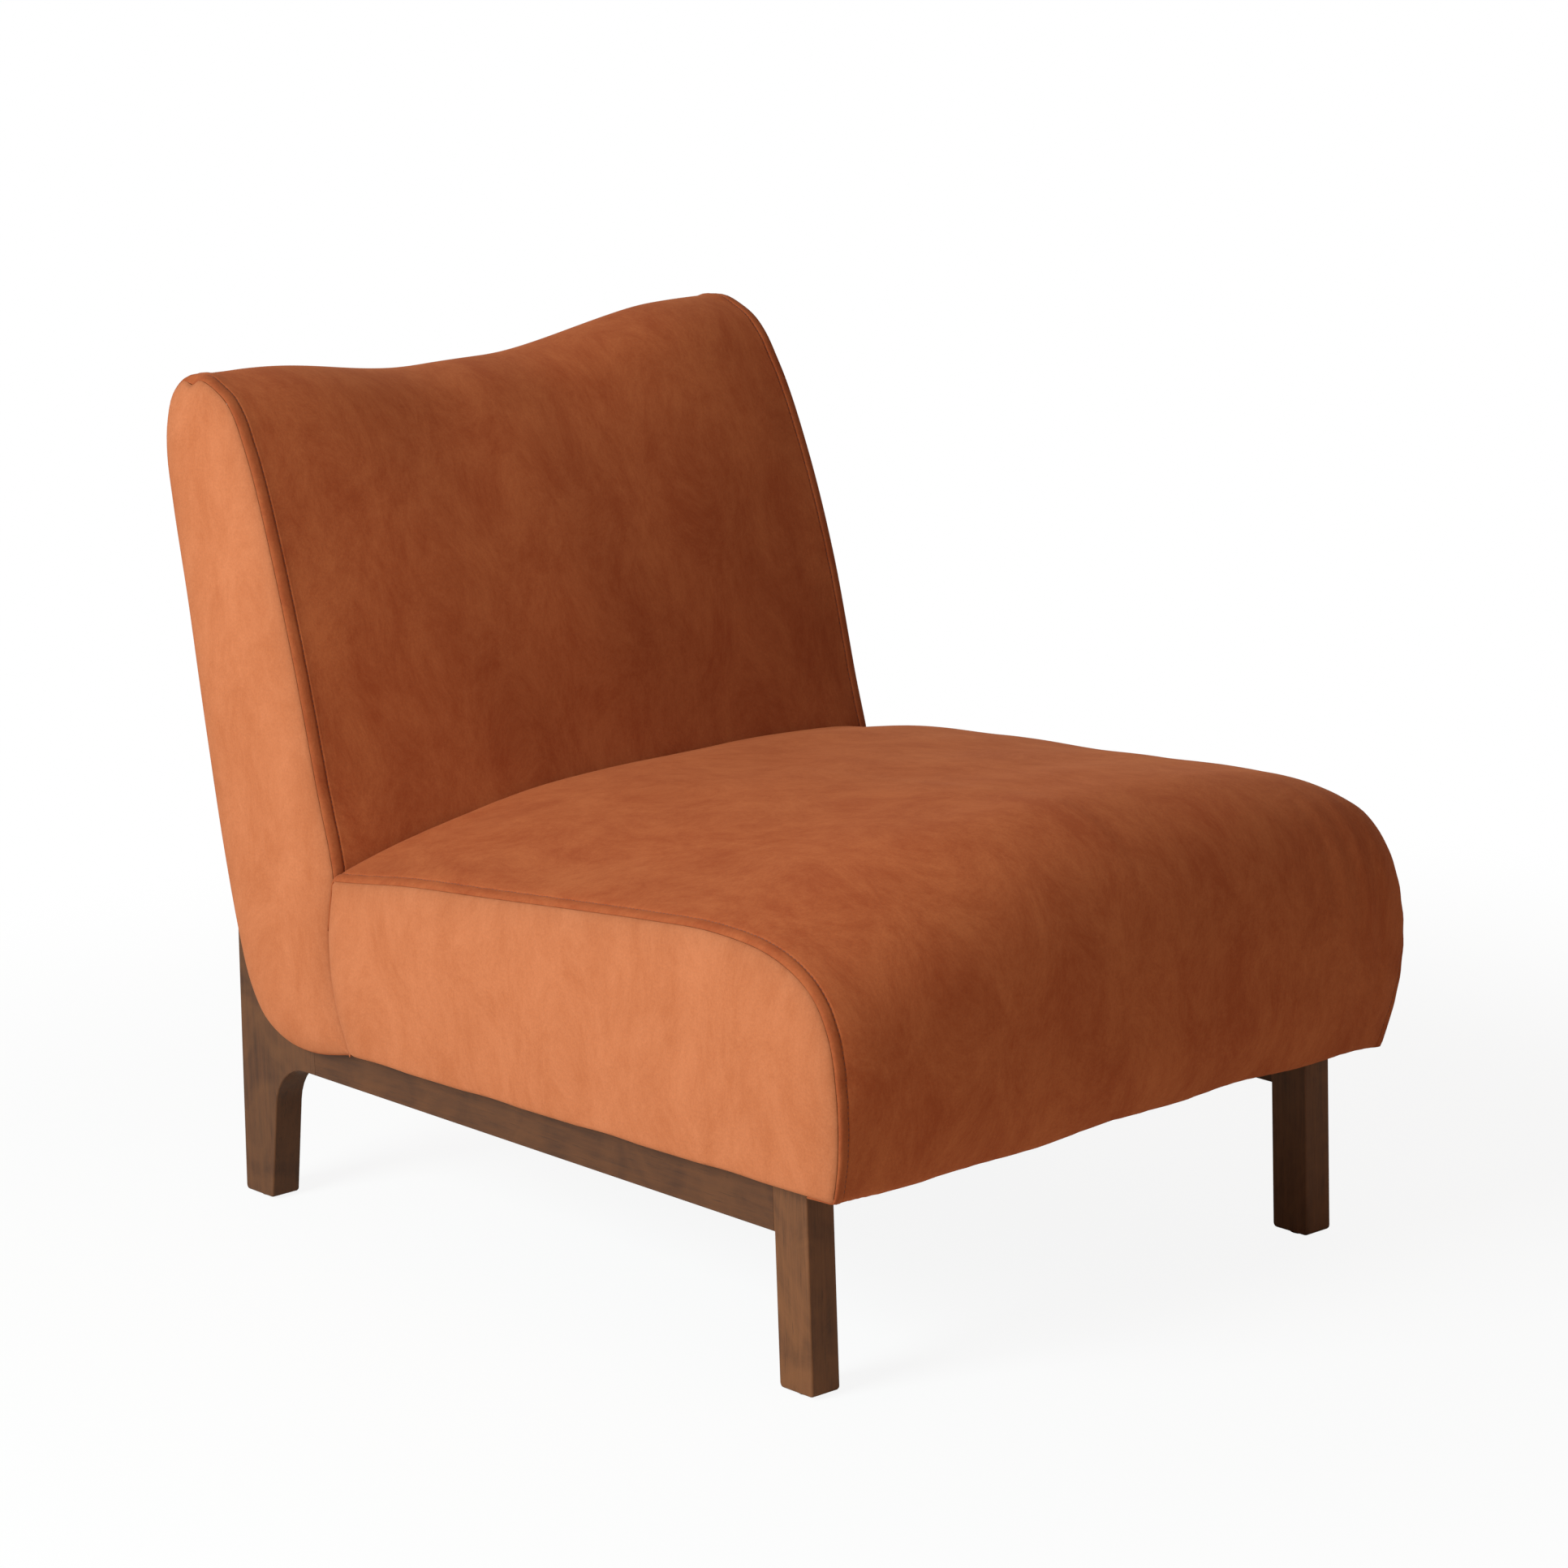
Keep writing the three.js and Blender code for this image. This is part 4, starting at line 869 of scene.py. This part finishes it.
visible_seat = np.flatnonzero((seat_down[:, 0] > tuck_depth) & (from_end[:, 0] > turn_under))
visible_back = np.flatnonzero(front_grid[:, 0, 2] > seat_inset[crease, 1])
seat_stitches = stitch_lines(seat_grid, seat_side, visible_seat)
back_stitches = stitch_lines(front_grid, front_side, visible_back)
for line in seat_stitches + back_stitches:
    print("row of stitches:", round(along(line)[-1], 2), "m long")

# %% Node tree that lays stitches along lines
stitch_tree = bpy.data.node_groups.new("topstitching", "GeometryNodeTree")
sockets = stitch_tree.interface
sockets.new_socket("Lines", in_out="INPUT", socket_type="NodeSocketGeometry")
for label in ("Pitch", "Stitch length", "Thread width", "Wander"):
    sockets.new_socket(label, in_out="INPUT", socket_type="NodeSocketFloat")
sockets.new_socket("Thread", in_out="INPUT", socket_type="NodeSocketMaterial")
sockets.new_socket("Stitches", in_out="OUTPUT", socket_type="NodeSocketGeometry")


def source(value):
    """The socket that a node's result comes from; any other value stays as it is."""
    if isinstance(value, bpy.types.Node):
        return next(socket for socket in value.outputs if socket.enabled)
    return value


def add_node(tree, kind, inputs, **settings):
    """Adds a node with its settings; each input gets a value, or a link from a socket or a node."""
    node = tree.nodes.new(kind)
    for name, value in settings.items():
        setattr(node, name, value)
    for name, value in inputs.items():
        value = source(value)
        if isinstance(value, bpy.types.NodeSocket):
            tree.links.new(value, node.inputs[name])
        else:
            node.inputs[name].default_value = value
    return node


thread_sides = 8
thread_rings = 5
given = stitch_tree.nodes.new("NodeGroupInput").outputs
curve = add_node(stitch_tree, "GeometryNodeMeshToCurve", {"Mesh": given["Lines"]})
steps = add_node(stitch_tree, "GeometryNodeResampleCurve", {
    "Curve": curve, "Length": given["Pitch"],
}, mode="LENGTH")
heading = add_node(stitch_tree, "GeometryNodeInputTangent", {})
wander = add_node(stitch_tree, "FunctionNodeRandomValue", {
    "Max": (1, 1, 1), "Min": (-1, -1, -1), "Seed": 5,
}, data_type="FLOAT_VECTOR")
drift = add_node(stitch_tree, "ShaderNodeVectorMath", {
    0: wander, "Scale": given["Wander"],
}, operation="SCALE")
aim = add_node(stitch_tree, "ShaderNodeVectorMath", {0: heading, 1: drift}, operation="ADD")
turn = add_node(stitch_tree, "FunctionNodeAlignRotationToVector", {"Vector": aim}, axis="Z")
bead = add_node(stitch_tree, "GeometryNodeMeshUVSphere", {
    "Segments": thread_sides, "Rings": thread_rings, "Radius": 0.5,
})
stretch = add_node(stitch_tree, "ShaderNodeCombineXYZ", {
    "X": given["Thread width"], "Y": given["Thread width"], "Z": given["Stitch length"],
})
laid = add_node(stitch_tree, "GeometryNodeInstanceOnPoints", {
    "Points": steps, "Instance": bead, "Rotation": turn, "Scale": stretch,
})
real = add_node(stitch_tree, "GeometryNodeRealizeInstances", {"Geometry": laid})
round_off = add_node(stitch_tree, "GeometryNodeSetShadeSmooth", {"Geometry": real})
coloured = add_node(stitch_tree, "GeometryNodeSetMaterial", {
    "Geometry": round_off, "Material": given["Thread"],
})
result = stitch_tree.nodes.new("NodeGroupOutput")
stitch_tree.links.new(source(coloured), result.inputs[0])


def stitched(name, lines, thread):
    """A plain mesh of stitches along the lines."""
    points = np.vstack(lines)
    starts = np.cumsum([0] + [len(line) for line in lines])
    edges = [(i, i + 1) for a, b in zip(starts, starts[1:]) for i in range(a, b - 1)]
    mesh = bpy.data.meshes.new(name + "_lines")
    mesh.from_pydata(points.tolist(), edges, [])
    guide = placed(name + "_lines", mesh)
    modifier = guide.modifiers.new("stitches", "NODES")
    modifier.node_group = stitch_tree
    values = {
        "Pitch": stitch_pitch, "Stitch length": stitch_length, "Thread width": thread_width,
        "Wander": stitch_wander, "Thread": thread,
    }
    for item in stitch_tree.interface.items_tree:
        if item.name in values:
            modifier[item.identifier] = values[item.name]
    settled = guide.evaluated_get(bpy.context.evaluated_depsgraph_get())
    made = bpy.data.meshes.new_from_object(settled)
    made.name = name
    bpy.data.objects.remove(guide)
    print(name, "has", len(made.polygons), "faces")
    return placed(name, made)


# %% [markdown]
# ## Materials
#
# Colours are written as they look on a screen, and Cycles works with linear light, so one function
# turns the one into the other. A node that mixes two colours takes its factor at input 0, and the
# colours at inputs 6 and 7.

# %% Colours, and the start and the end of a material
def linear(colour):
    """A hex colour as linear red, green, blue and alpha."""
    parts = [int(colour[i:i + 2], 16) / 255 for i in (1, 3, 5)]
    return [c / 12.92 if c <= 0.04045 else ((c + 0.055) / 1.055) ** 2.4 for c in parts] + [1]


def new_material(name, surface):
    """A material whose Principled shader has the given constant values, and its node tree."""
    material = bpy.data.materials.new(name)
    material.use_nodes = True
    shader = material.node_tree.nodes["Principled BSDF"]
    for socket, value in surface.items():
        shader.inputs[socket].default_value = value
    return material, material.node_tree


def finished(material, colour, rough=None, bump=None):
    """The material, with nodes for its colour, roughness and relief linked to its shader."""
    tree = material.node_tree
    inputs = tree.nodes["Principled BSDF"].inputs
    for socket, node in (("Base Color", colour), ("Roughness", rough), ("Normal", bump)):
        if node:
            tree.links.new(source(node), inputs[socket])
    return material


# %% [markdown]
# ### Cut velvet
#
# Velvet is woven with a pile of upright hairs, about a millimetre tall. Where a hand or the
# upholsterer has brushed the pile the other way it looks lighter or darker, so the colour drifts in
# soft patches of every size below a hand's width, longer along the pile. Beside a seam the colour
# is
# darker: partly crushed pile, partly painted shade in the hollow of the seam and under the roll of
# the foam. The hairs scatter light at grazing angles, which the sheen of the shader does. Single
# hairs are far too fine to show, so the grain is drawn a little coarser than it is. The side panels
# face the lamp and get a lighter, paler copy of the velvet, which is painted light.

# %% Velvet
nap_patch = 65 * mm
pile_grain = 2.2 * mm
pile_height = 0.3 * mm
thread_twist = 1.2 * mm


def velvet_material(panel, dark, light, flat_pile_and_shade_level):
    """Velvet in two shades; crushed pile and painted shade keep only the given share of brightness.
    """
    material, tree = new_material(f"rust_cut_velvet_{panel}", {
        "Metallic": 0, "IOR": 1.45, "Sheen Weight": 0.16, "Sheen Roughness": 0.45,
        "Sheen Tint": linear("#E08A50"), "Specular IOR Level": 0.3,
    })
    place = add_node(tree, "ShaderNodeUVMap", {}, uv_map="cloth")
    along_pile = add_node(tree, "ShaderNodeMapping", {"Vector": place, "Scale": (1, 0.55, 1)})
    patches = add_node(tree, "ShaderNodeTexNoise", {
        "Vector": along_pile, "Scale": 1 / nap_patch, "Detail": 6, "Roughness": 0.86,
        "Distortion": 0.4,
    })
    grain = add_node(tree, "ShaderNodeTexNoise", {
        "Vector": place, "Scale": 1 / pile_grain, "Detail": 2, "Roughness": 0.7,
    })
    brushed = add_node(tree, "ShaderNodeMapRange", {
        "Value": patches, "From Min": 0.37, "From Max": 0.63,
    })
    base = add_node(tree, "ShaderNodeMix", {
        0: brushed, 6: linear(dark), 7: linear(light),
    }, data_type="RGBA")
    depth = add_node(tree, "ShaderNodeMapRange", {
        "Value": grain, "From Min": 0.3, "From Max": 0.7, "To Min": 0.92, "To Max": 1.08,
    })
    # crushed pile and painted shade, beside seams and along the left edge of the seat
    flat_pile_and_shade = add_node(tree, "ShaderNodeAttribute", {}, attribute_name="flat_pile_and_shade")
    shade = add_node(tree, "ShaderNodeMapRange", {
        "Value": flat_pile_and_shade.outputs["Fac"], "To Min": 1, "To Max": flat_pile_and_shade_level,
    })
    colour = base
    for factor in (depth, shade):
        colour = add_node(tree, "ShaderNodeVectorMath", {
            0: colour, "Scale": factor,
        }, operation="SCALE")
    rough = add_node(tree, "ShaderNodeMapRange", {"Value": grain, "To Min": 0.82, "To Max": 0.98})
    bump = add_node(tree, "ShaderNodeBump", {
        "Height": grain, "Distance": pile_height, "Strength": 0.5,
    })
    return finished(material, colour, rough, bump)


def thread_material():
    """Polyester sewing thread: two twisted strands, a little glossier than the pile around it."""
    material, tree = new_material("spun_polyester_thread", {"Sheen Weight": 0.1, "IOR": 1.5})
    place = add_node(tree, "ShaderNodeTexCoord", {}).outputs["Object"]
    twist = add_node(tree, "ShaderNodeTexWave", {
        "Vector": place, "Scale": 1 / thread_twist, "Distortion": 1.5,
    }, bands_direction="DIAGONAL").outputs["Fac"]
    # painted shade: the thread is darker than the velvet, as the shade in the needle holes is
    colour = add_node(tree, "ShaderNodeMix", {
        0: twist, 6: linear("#55210F"), 7: linear("#6C2D14"),
    }, data_type="RGBA")
    rough = add_node(tree, "ShaderNodeMapRange", {"Value": twist, "To Min": 0.55, "To Max": 0.75})
    return finished(material, colour, rough)


# %% [markdown]
# ### Stained wood
#
# The frames are hardwood with a walnut stain under satin lacquer. The stain soaks in unevenly, so
# there are cloudy blotches as well as long narrow grain lines and short dark pores. All three are
# noise; the grain lines and the pores are stretched along the length of the board, which differs
# between legs and rails.

# %% Walnut stain, in three directions of grain
grain_spacing = 5 * mm
pore_width = 0.9 * mm
pore_depth = 0.08 * mm
stain_blotch = 60 * mm
grain_stretch = 0.06
pore_stretch = 0.035


def walnut_material(direction, lengthways, dark, light, blotch):
    """Stained wood in three shades, whose grain runs along the axis that lengthways names."""
    material, tree = new_material(f"walnut_stain_satin_lacquer_{direction}", {
        "IOR": 1.5, "Specular IOR Level": 0.2, "Coat Weight": 0.06, "Coat Roughness": 0.28,
    })
    place = add_node(tree, "ShaderNodeTexCoord", {}).outputs["Object"]
    board, cells = (
        add_node(tree, "ShaderNodeMapping", {
            "Vector": place, "Scale": [share if axis == lengthways else 1 for axis in "xyz"],
        })
        for share in (grain_stretch, pore_stretch)
    )
    grain = add_node(tree, "ShaderNodeTexNoise", {
        "Vector": board, "Scale": 1 / grain_spacing, "Detail": 5, "Roughness": 0.6,
        "Distortion": 0.5,
    })
    cloud = add_node(tree, "ShaderNodeTexNoise", {
        "Vector": place, "Scale": 1 / stain_blotch, "Detail": 4, "Roughness": 0.6,
        "Distortion": 1,
    })
    pores = add_node(tree, "ShaderNodeTexNoise", {
        "Vector": cells, "Scale": 1 / pore_width, "Detail": 2, "Roughness": 0.5,
    })
    lines = add_node(tree, "ShaderNodeMapRange", {
        "Value": grain, "From Min": 0.3, "From Max": 0.7,
    })
    clouds = add_node(tree, "ShaderNodeMapRange", {
        "Value": cloud, "From Min": 0.35, "From Max": 0.65, "To Min": 0, "To Max": 0.6,
    })
    open_pores = add_node(tree, "ShaderNodeMapRange", {
        "Value": pores, "From Min": 0.62, "From Max": 0.72, "To Min": 0, "To Max": 0.55,
    })
    colour = linear(dark)
    for share, over in ((lines, light), (clouds, blotch), (open_pores, "#2C1A10")):
        colour = add_node(tree, "ShaderNodeMix", {
            0: share, 6: colour, 7: linear(over),
        }, data_type="RGBA")
    rough = add_node(tree, "ShaderNodeMapRange", {"Value": grain, "To Min": 0.4, "To Max": 0.58})
    bump = add_node(tree, "ShaderNodeBump", {
        "Height": open_pores, "Distance": pore_depth, "Strength": 0.6,
    }, invert=True)
    return finished(material, colour, rough, bump)


# %% [markdown]
# ### The hidden materials
#
# The pieces inside the covers and under the seat have plainer finishes, yet each has its own grain.
# Planed beech is pale and matt with a long grain. Zinc on turned steel and drawn wire are grey
# metals with faint long marks, the wire darker. Moulded nylon is nearly black with a fine dull
# texture, and felt is a dark fuzz of short fibres. Webbing and cambric show their plain weave. One
# function makes the grained finishes from two colours, two roughnesses and a stretched noise, and
# another makes the woven ones.

# %% Beech, steel, nylon, felt, webbing and cambric
band_share = 6                   # the bands of a wave texture are about a sixth of 1 / scale wide


def grained_material(name, dark, light, roughness, spacing, stretch, relief, surface):
    """A material whose colour and gloss vary between two values over a stretched noise."""
    material, tree = new_material(name, surface)
    place = add_node(tree, "ShaderNodeTexCoord", {}).outputs["Object"]
    drawn = add_node(tree, "ShaderNodeMapping", {"Vector": place, "Scale": stretch})
    noise = add_node(tree, "ShaderNodeTexNoise", {
        "Vector": drawn, "Scale": 1 / spacing, "Detail": 4, "Roughness": 0.6,
    })
    spread = add_node(tree, "ShaderNodeMapRange", {
        "Value": noise, "From Min": 0.3, "From Max": 0.7,
    })
    colour = add_node(tree, "ShaderNodeMix", {
        0: spread, 6: linear(dark), 7: linear(light),
    }, data_type="RGBA")
    rough = add_node(tree, "ShaderNodeMapRange", {
        "Value": noise, "To Min": roughness[0], "To Max": roughness[1],
    })
    bump = add_node(tree, "ShaderNodeBump", {"Height": noise, "Distance": relief, "Strength": 0.5})
    return finished(material, colour, rough, bump)


def woven_material(name, dark, light, thread, relief):
    """A plain weave: bands at right angles, each of them one thread wide."""
    material, tree = new_material(name, {"IOR": 1.5, "Roughness": 0.85})
    place = add_node(tree, "ShaderNodeTexCoord", {}).outputs["Object"]
    ends = [
        add_node(tree, "ShaderNodeTexWave", {
            "Vector": place, "Scale": 1 / (band_share * thread),
        }, bands_direction=axis).outputs["Fac"]
        for axis in ("X", "Y")
    ]
    over = add_node(tree, "ShaderNodeMath", {0: ends[0], 1: ends[1]}, operation="MULTIPLY")
    colour = add_node(tree, "ShaderNodeMix", {
        0: over, 6: linear(dark), 7: linear(light),
    }, data_type="RGBA")
    bump = add_node(tree, "ShaderNodeBump", {"Height": over, "Distance": relief, "Strength": 0.6})
    return finished(material, colour, bump=bump)


velvet = velvet_material("main", "#974520", "#AB5A31", 0.74)
# painted light: a lighter, paler copy of the velvet for the side panels that face the lamp
side_velvet_painted_lit = velvet_material("sides", "#9F5935", "#AB6541", 0.84)
sewing_thread_and_hole_shade = thread_material()
walnut_front = walnut_material("front_legs", "z", "#472A17", "#643D25", "#724729")
walnut_rear = walnut_material("rear_legs", "z", "#3A2113", "#52311D", "#5F3B22")
# painted shade: the rails get a darker copy of the stain, for the shadow of the seat above them
walnut_rails_painted_shade = walnut_material("side_rails", "y", "#381F12", "#4F2E19", "#59351D")
walnut_cross_rails_painted_shade = walnut_material("cross_rails", "x", "#381F12", "#4F2E19", "#59351D")
metal = {"Metallic": 1}
grained = {                      # two colours, two roughnesses, grain, stretch, relief, surface
    "planed_beech": (
        "#B98F5E", "#D3B183", (0.55, 0.75), 4 * mm, (1, 0.08, 1), 0.05 * mm, {"IOR": 1.5}),
    "zinc_plated_steel": (
        "#8E9296", "#B4B8BA", (0.3, 0.42), 2 * mm, (1, 1, 0.2), 0.01 * mm, metal),
    "drawn_spring_wire": (
        "#5E6367", "#83898D", (0.32, 0.45), 3 * mm, (0.2, 1, 1), 0.01 * mm, metal),
    "moulded_nylon": (
        "#221C18", "#2E2723", (0.42, 0.55), 1.5 * mm, (1, 1, 1), 0.02 * mm, {"IOR": 1.53}),
    "needled_felt": (
        "#2E2E2C", "#4A4A46", (0.9, 1), 3 * mm, (1, 0.5, 1), 0.4 * mm, {"IOR": 1.45}),
}
weaves = {                       # two colours, thread spacing, relief
    "jute_webbing": ("#26241F", "#4B473F", 2 * mm, 0.5 * mm),
    "black_cambric": ("#0D0D0D", "#232323", 0.8 * mm, 0.15 * mm),
}
beech, zinc, wire, nylon, felt = (
    grained_material(name, *values) for name, values in grained.items()
)
strap_weave, cambric = (woven_material(name, *values) for name, values in weaves.items())
print("finishes of the hidden pieces:", *grained, *weaves)

# %% [markdown]
# ## Finish and fasten every piece
#
# The covers stand for the CAD covers and for the foam under them. The wooden pieces are copies of
# the CAD solids with shared corners, because only a mesh whose faces share corners can shade a
# rounded edge smoothly. The other CAD pieces stay and get their material.

# %% Velvet pieces
covers = [
    (seat_top_panel, velvet, ["seat_cover", "seat_foam"]),
    (back_front_panel, velvet, ["back_cover", "back_foam"]),
    (outside_back_panel, velvet, ["outside_back_cover"]),
]
for side in ("left", "right"):
    covers.append((seat_side_panels[side], side_velvet_painted_lit, [f"seat_side_cover_{side}"]))
    covers.append((back_side_panels[side], side_velvet_painted_lit, [f"back_side_cover_{side}"]))
for piece, material, nodes in covers:
    piece.data.materials.append(material)
    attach(piece, "root")
    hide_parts(*nodes)

for name, lines in (("seat_topstitching", seat_stitches), ("back_topstitching", back_stitches)):
    stitches = stitched(name, lines, sewing_thread_and_hole_shade)
    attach(stitches, "root")
print(len(covers), "velvet pieces")

# %% Wooden pieces
weld = 0.01 * mm
sharp_angle = math.radians(50)


def dressed_copy(name, node, material):
    """A copy of a CAD solid with shared corners and smooth rounded edges."""
    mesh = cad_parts[node].data.copy()
    shape = bmesh.new()
    shape.from_mesh(mesh)
    bmesh.ops.remove_doubles(shape, verts=shape.verts, dist=weld)
    for edge in shape.edges:
        edge.smooth = edge.calc_face_angle(math.pi) < sharp_angle
    for face in shape.faces:
        face.smooth = True
    shape.to_mesh(mesh)
    shape.free()
    mesh.materials.clear()
    mesh.materials.append(material)
    piece = placed(name, mesh)
    weighted = piece.modifiers.new("weighted", "WEIGHTED_NORMAL")
    weighted.keep_sharp = True
    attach(piece, "root")
    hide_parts(node)
    return piece


boards = [("front_cross_rail", walnut_cross_rails_painted_shade), ("rear_cross_rail", walnut_cross_rails_painted_shade)]
for side in ("left", "right"):
    boards.append((f"front_leg_{side}", walnut_front))
    boards.append((f"rear_leg_{side}", walnut_rear))
    boards.append((f"side_rail_{side}", walnut_rails_painted_shade))
for node, material in boards:
    dressed_copy(f"{node}_board", node, material)
print(len(boards), "wooden pieces dressed")

# %% Sheets of webbing, felt and cambric
sheets = [("dust_cover", cambric, "dust_cloth", ["seat_frame_left", "seat_frame_right"])]
sheets.append(("spring_insulator", felt, "webbing", ["seat_spring_1", "seat_spring_4"]))
for number in (1, 2, 3):
    posts = ["back_post_left", "back_post_right"]
    sheets.append((f"back_strap_{number}", strap_weave, "webbing", posts))
for node, material, slot, carriers in sheets:
    sheet = dressed_copy(f"{node}_cloth", node, material)

# %% The remaining CAD pieces
finishes = {
    "corner_block": beech, "back_post": beech, "seat_frame": beech, "back_top_rail": beech,
    "back_lower_rail": beech, "foot_glide": nylon, "body_bolt": zinc, "threaded_insert": zinc,
    "seat_spring": wire, "spring_clip": zinc,
}
for name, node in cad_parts.items():
    for start, material in finishes.items():
        if name.startswith(start):
            node.data.materials.clear()
            node.data.materials.append(material)

# %% [markdown]
# ## Studio
#
# The photograph was taken in soft daylight that comes from the chair's left. One large lamp stands
# there, and the pale surroundings fill in the rest. They look white to the camera and in
# reflections, but light the chair only as much as a grey room would. The floor looks white too, and
# keeps a faint shadow. It throws a warm light back on the underside of the chair.

# %% Lamp
window_place = Vector((-4.2, 0.1, 2.35))
window_size = 2.4
window_watts = 290
aim_point = Vector((0, 0, 0.4))

light = bpy.data.lights.new("window", "AREA")
light.shape = "DISK"
light.size = window_size
light.energy = window_watts
light.color = linear("#F4FFFF")[:3]
towards_chair = (window_place - aim_point).to_track_quat("Z", "Y").to_matrix().to_4x4()
placed("window", light).matrix_world = Matrix.Translation(window_place) @ towards_chair
print("lamp:", round((window_place - aim_point).length, 2), "m from the chair")

# %% Surroundings
room_level = 0.265               # how bright the surroundings are as light; white is 1

world = bpy.data.worlds.new("studio")
bpy.context.scene.world = world
world.use_nodes = True
sky = world.node_tree
sky.nodes.clear()
seen = add_node(sky, "ShaderNodeLightPath", {})
white_for = seen.outputs["Is Camera Ray"]
for path in ("Is Glossy Ray", "Is Transmission Ray"):
    white_for = add_node(sky, "ShaderNodeMath", {
        0: white_for, 1: seen.outputs[path],
    }, operation="MAXIMUM")
level = add_node(sky, "ShaderNodeMapRange", {
    "Value": white_for, "To Min": room_level, "To Max": 1,
})
tint = add_node(sky, "ShaderNodeMix", {
    0: white_for, 6: linear("#FFF2E4"), 7: (1, 1, 1, 1),
}, data_type="RGBA")
glow = add_node(sky, "ShaderNodeBackground", {"Color": tint, "Strength": level})
add_node(sky, "ShaderNodeOutputWorld", {"Surface": glow})

# %% Floor
floor_reach = 30
floor_grit = 3 * mm
clear_from = 0.7                 # beyond this distance the floor fades to pure white
clear_at = 1.6
near_whiteness = 0.9             # near the chair a tenth of what shows is the shaded floor

floor_points = np.array([(x, y, 0) for x in (-1, 1) for y in (-1, 1)], float) * floor_reach
floor = mesh_piece("floor", floor_points, np.array([[0, 2, 3, 1]]))
paint, tree = new_material("matt_white_floor", {"Roughness": 0.9, "Specular IOR Level": 0.1})
place = add_node(tree, "ShaderNodeTexCoord", {}).outputs["Object"]
speckle = add_node(tree, "ShaderNodeTexNoise", {"Vector": place, "Scale": 1 / floor_grit})
tone = add_node(tree, "ShaderNodeMix", {
    0: speckle, 6: linear("#E6E6E6"), 7: linear("#EAEAEA"),
}, data_type="RGBA")
to_camera = add_node(tree, "ShaderNodeLightPath", {}).outputs["Is Camera Ray"]
cast = add_node(tree, "ShaderNodeMix", {
    0: to_camera, 6: linear("#EFE3D4"), 7: tone,
}, data_type="RGBA")
finished(paint, cast)
distance = add_node(tree, "ShaderNodeVectorMath", {0: place}, operation="LENGTH")
near = add_node(tree, "ShaderNodeMapRange", {
    "Value": distance, "From Min": clear_from, "From Max": clear_at, "To Min": near_whiteness,
    "To Max": 1,
}, interpolation_type="SMOOTHSTEP")
whiteness = add_node(tree, "ShaderNodeMath", {0: near, 1: to_camera}, operation="MULTIPLY")
bright = add_node(tree, "ShaderNodeEmission", {"Color": (1, 1, 1, 1), "Strength": 1})
both = add_node(tree, "ShaderNodeMixShader", {
    0: whiteness, 1: tree.nodes["Principled BSDF"], 2: bright,
})
tree.links.new(source(both), tree.nodes["Material Output"].inputs["Surface"])
floor.data.materials.append(paint)

# %% [markdown]
# ## Camera
#
# The camera stands where the photographer stood, to the chair's left and a little above it, with a
# long lens. Its place and its three angles were found from the straight edges of the wooden frame.

# %% Camera
camera_place = Vector((-2990.1, -3570.5, 1527.4)) * mm
camera_turn = math.radians(-40.0434)
camera_pitch = math.radians(13.4847)
camera_roll = math.radians(-1.9371)
sensor_width = 36
photo_width = 1932               # pixels
focal_pixels = 6500

view = bpy.data.cameras.new("camera")
view.sensor_width = sensor_width
view.lens = focal_pixels * sensor_width / photo_width
camera = placed("camera", view)
upright_view = Euler((math.pi / 2 - camera_pitch, 0, camera_turn)).to_matrix().to_4x4()
roll = Matrix.Rotation(camera_roll, 4, "Z")
camera.matrix_world = Matrix.Translation(camera_place) @ upright_view @ roll
bpy.context.scene.camera = camera
bpy.context.scene.view_settings.view_transform = "Standard"
print("lens:", round(view.lens, 1), "mm,", round(camera_place.length, 2), "m from the chair")
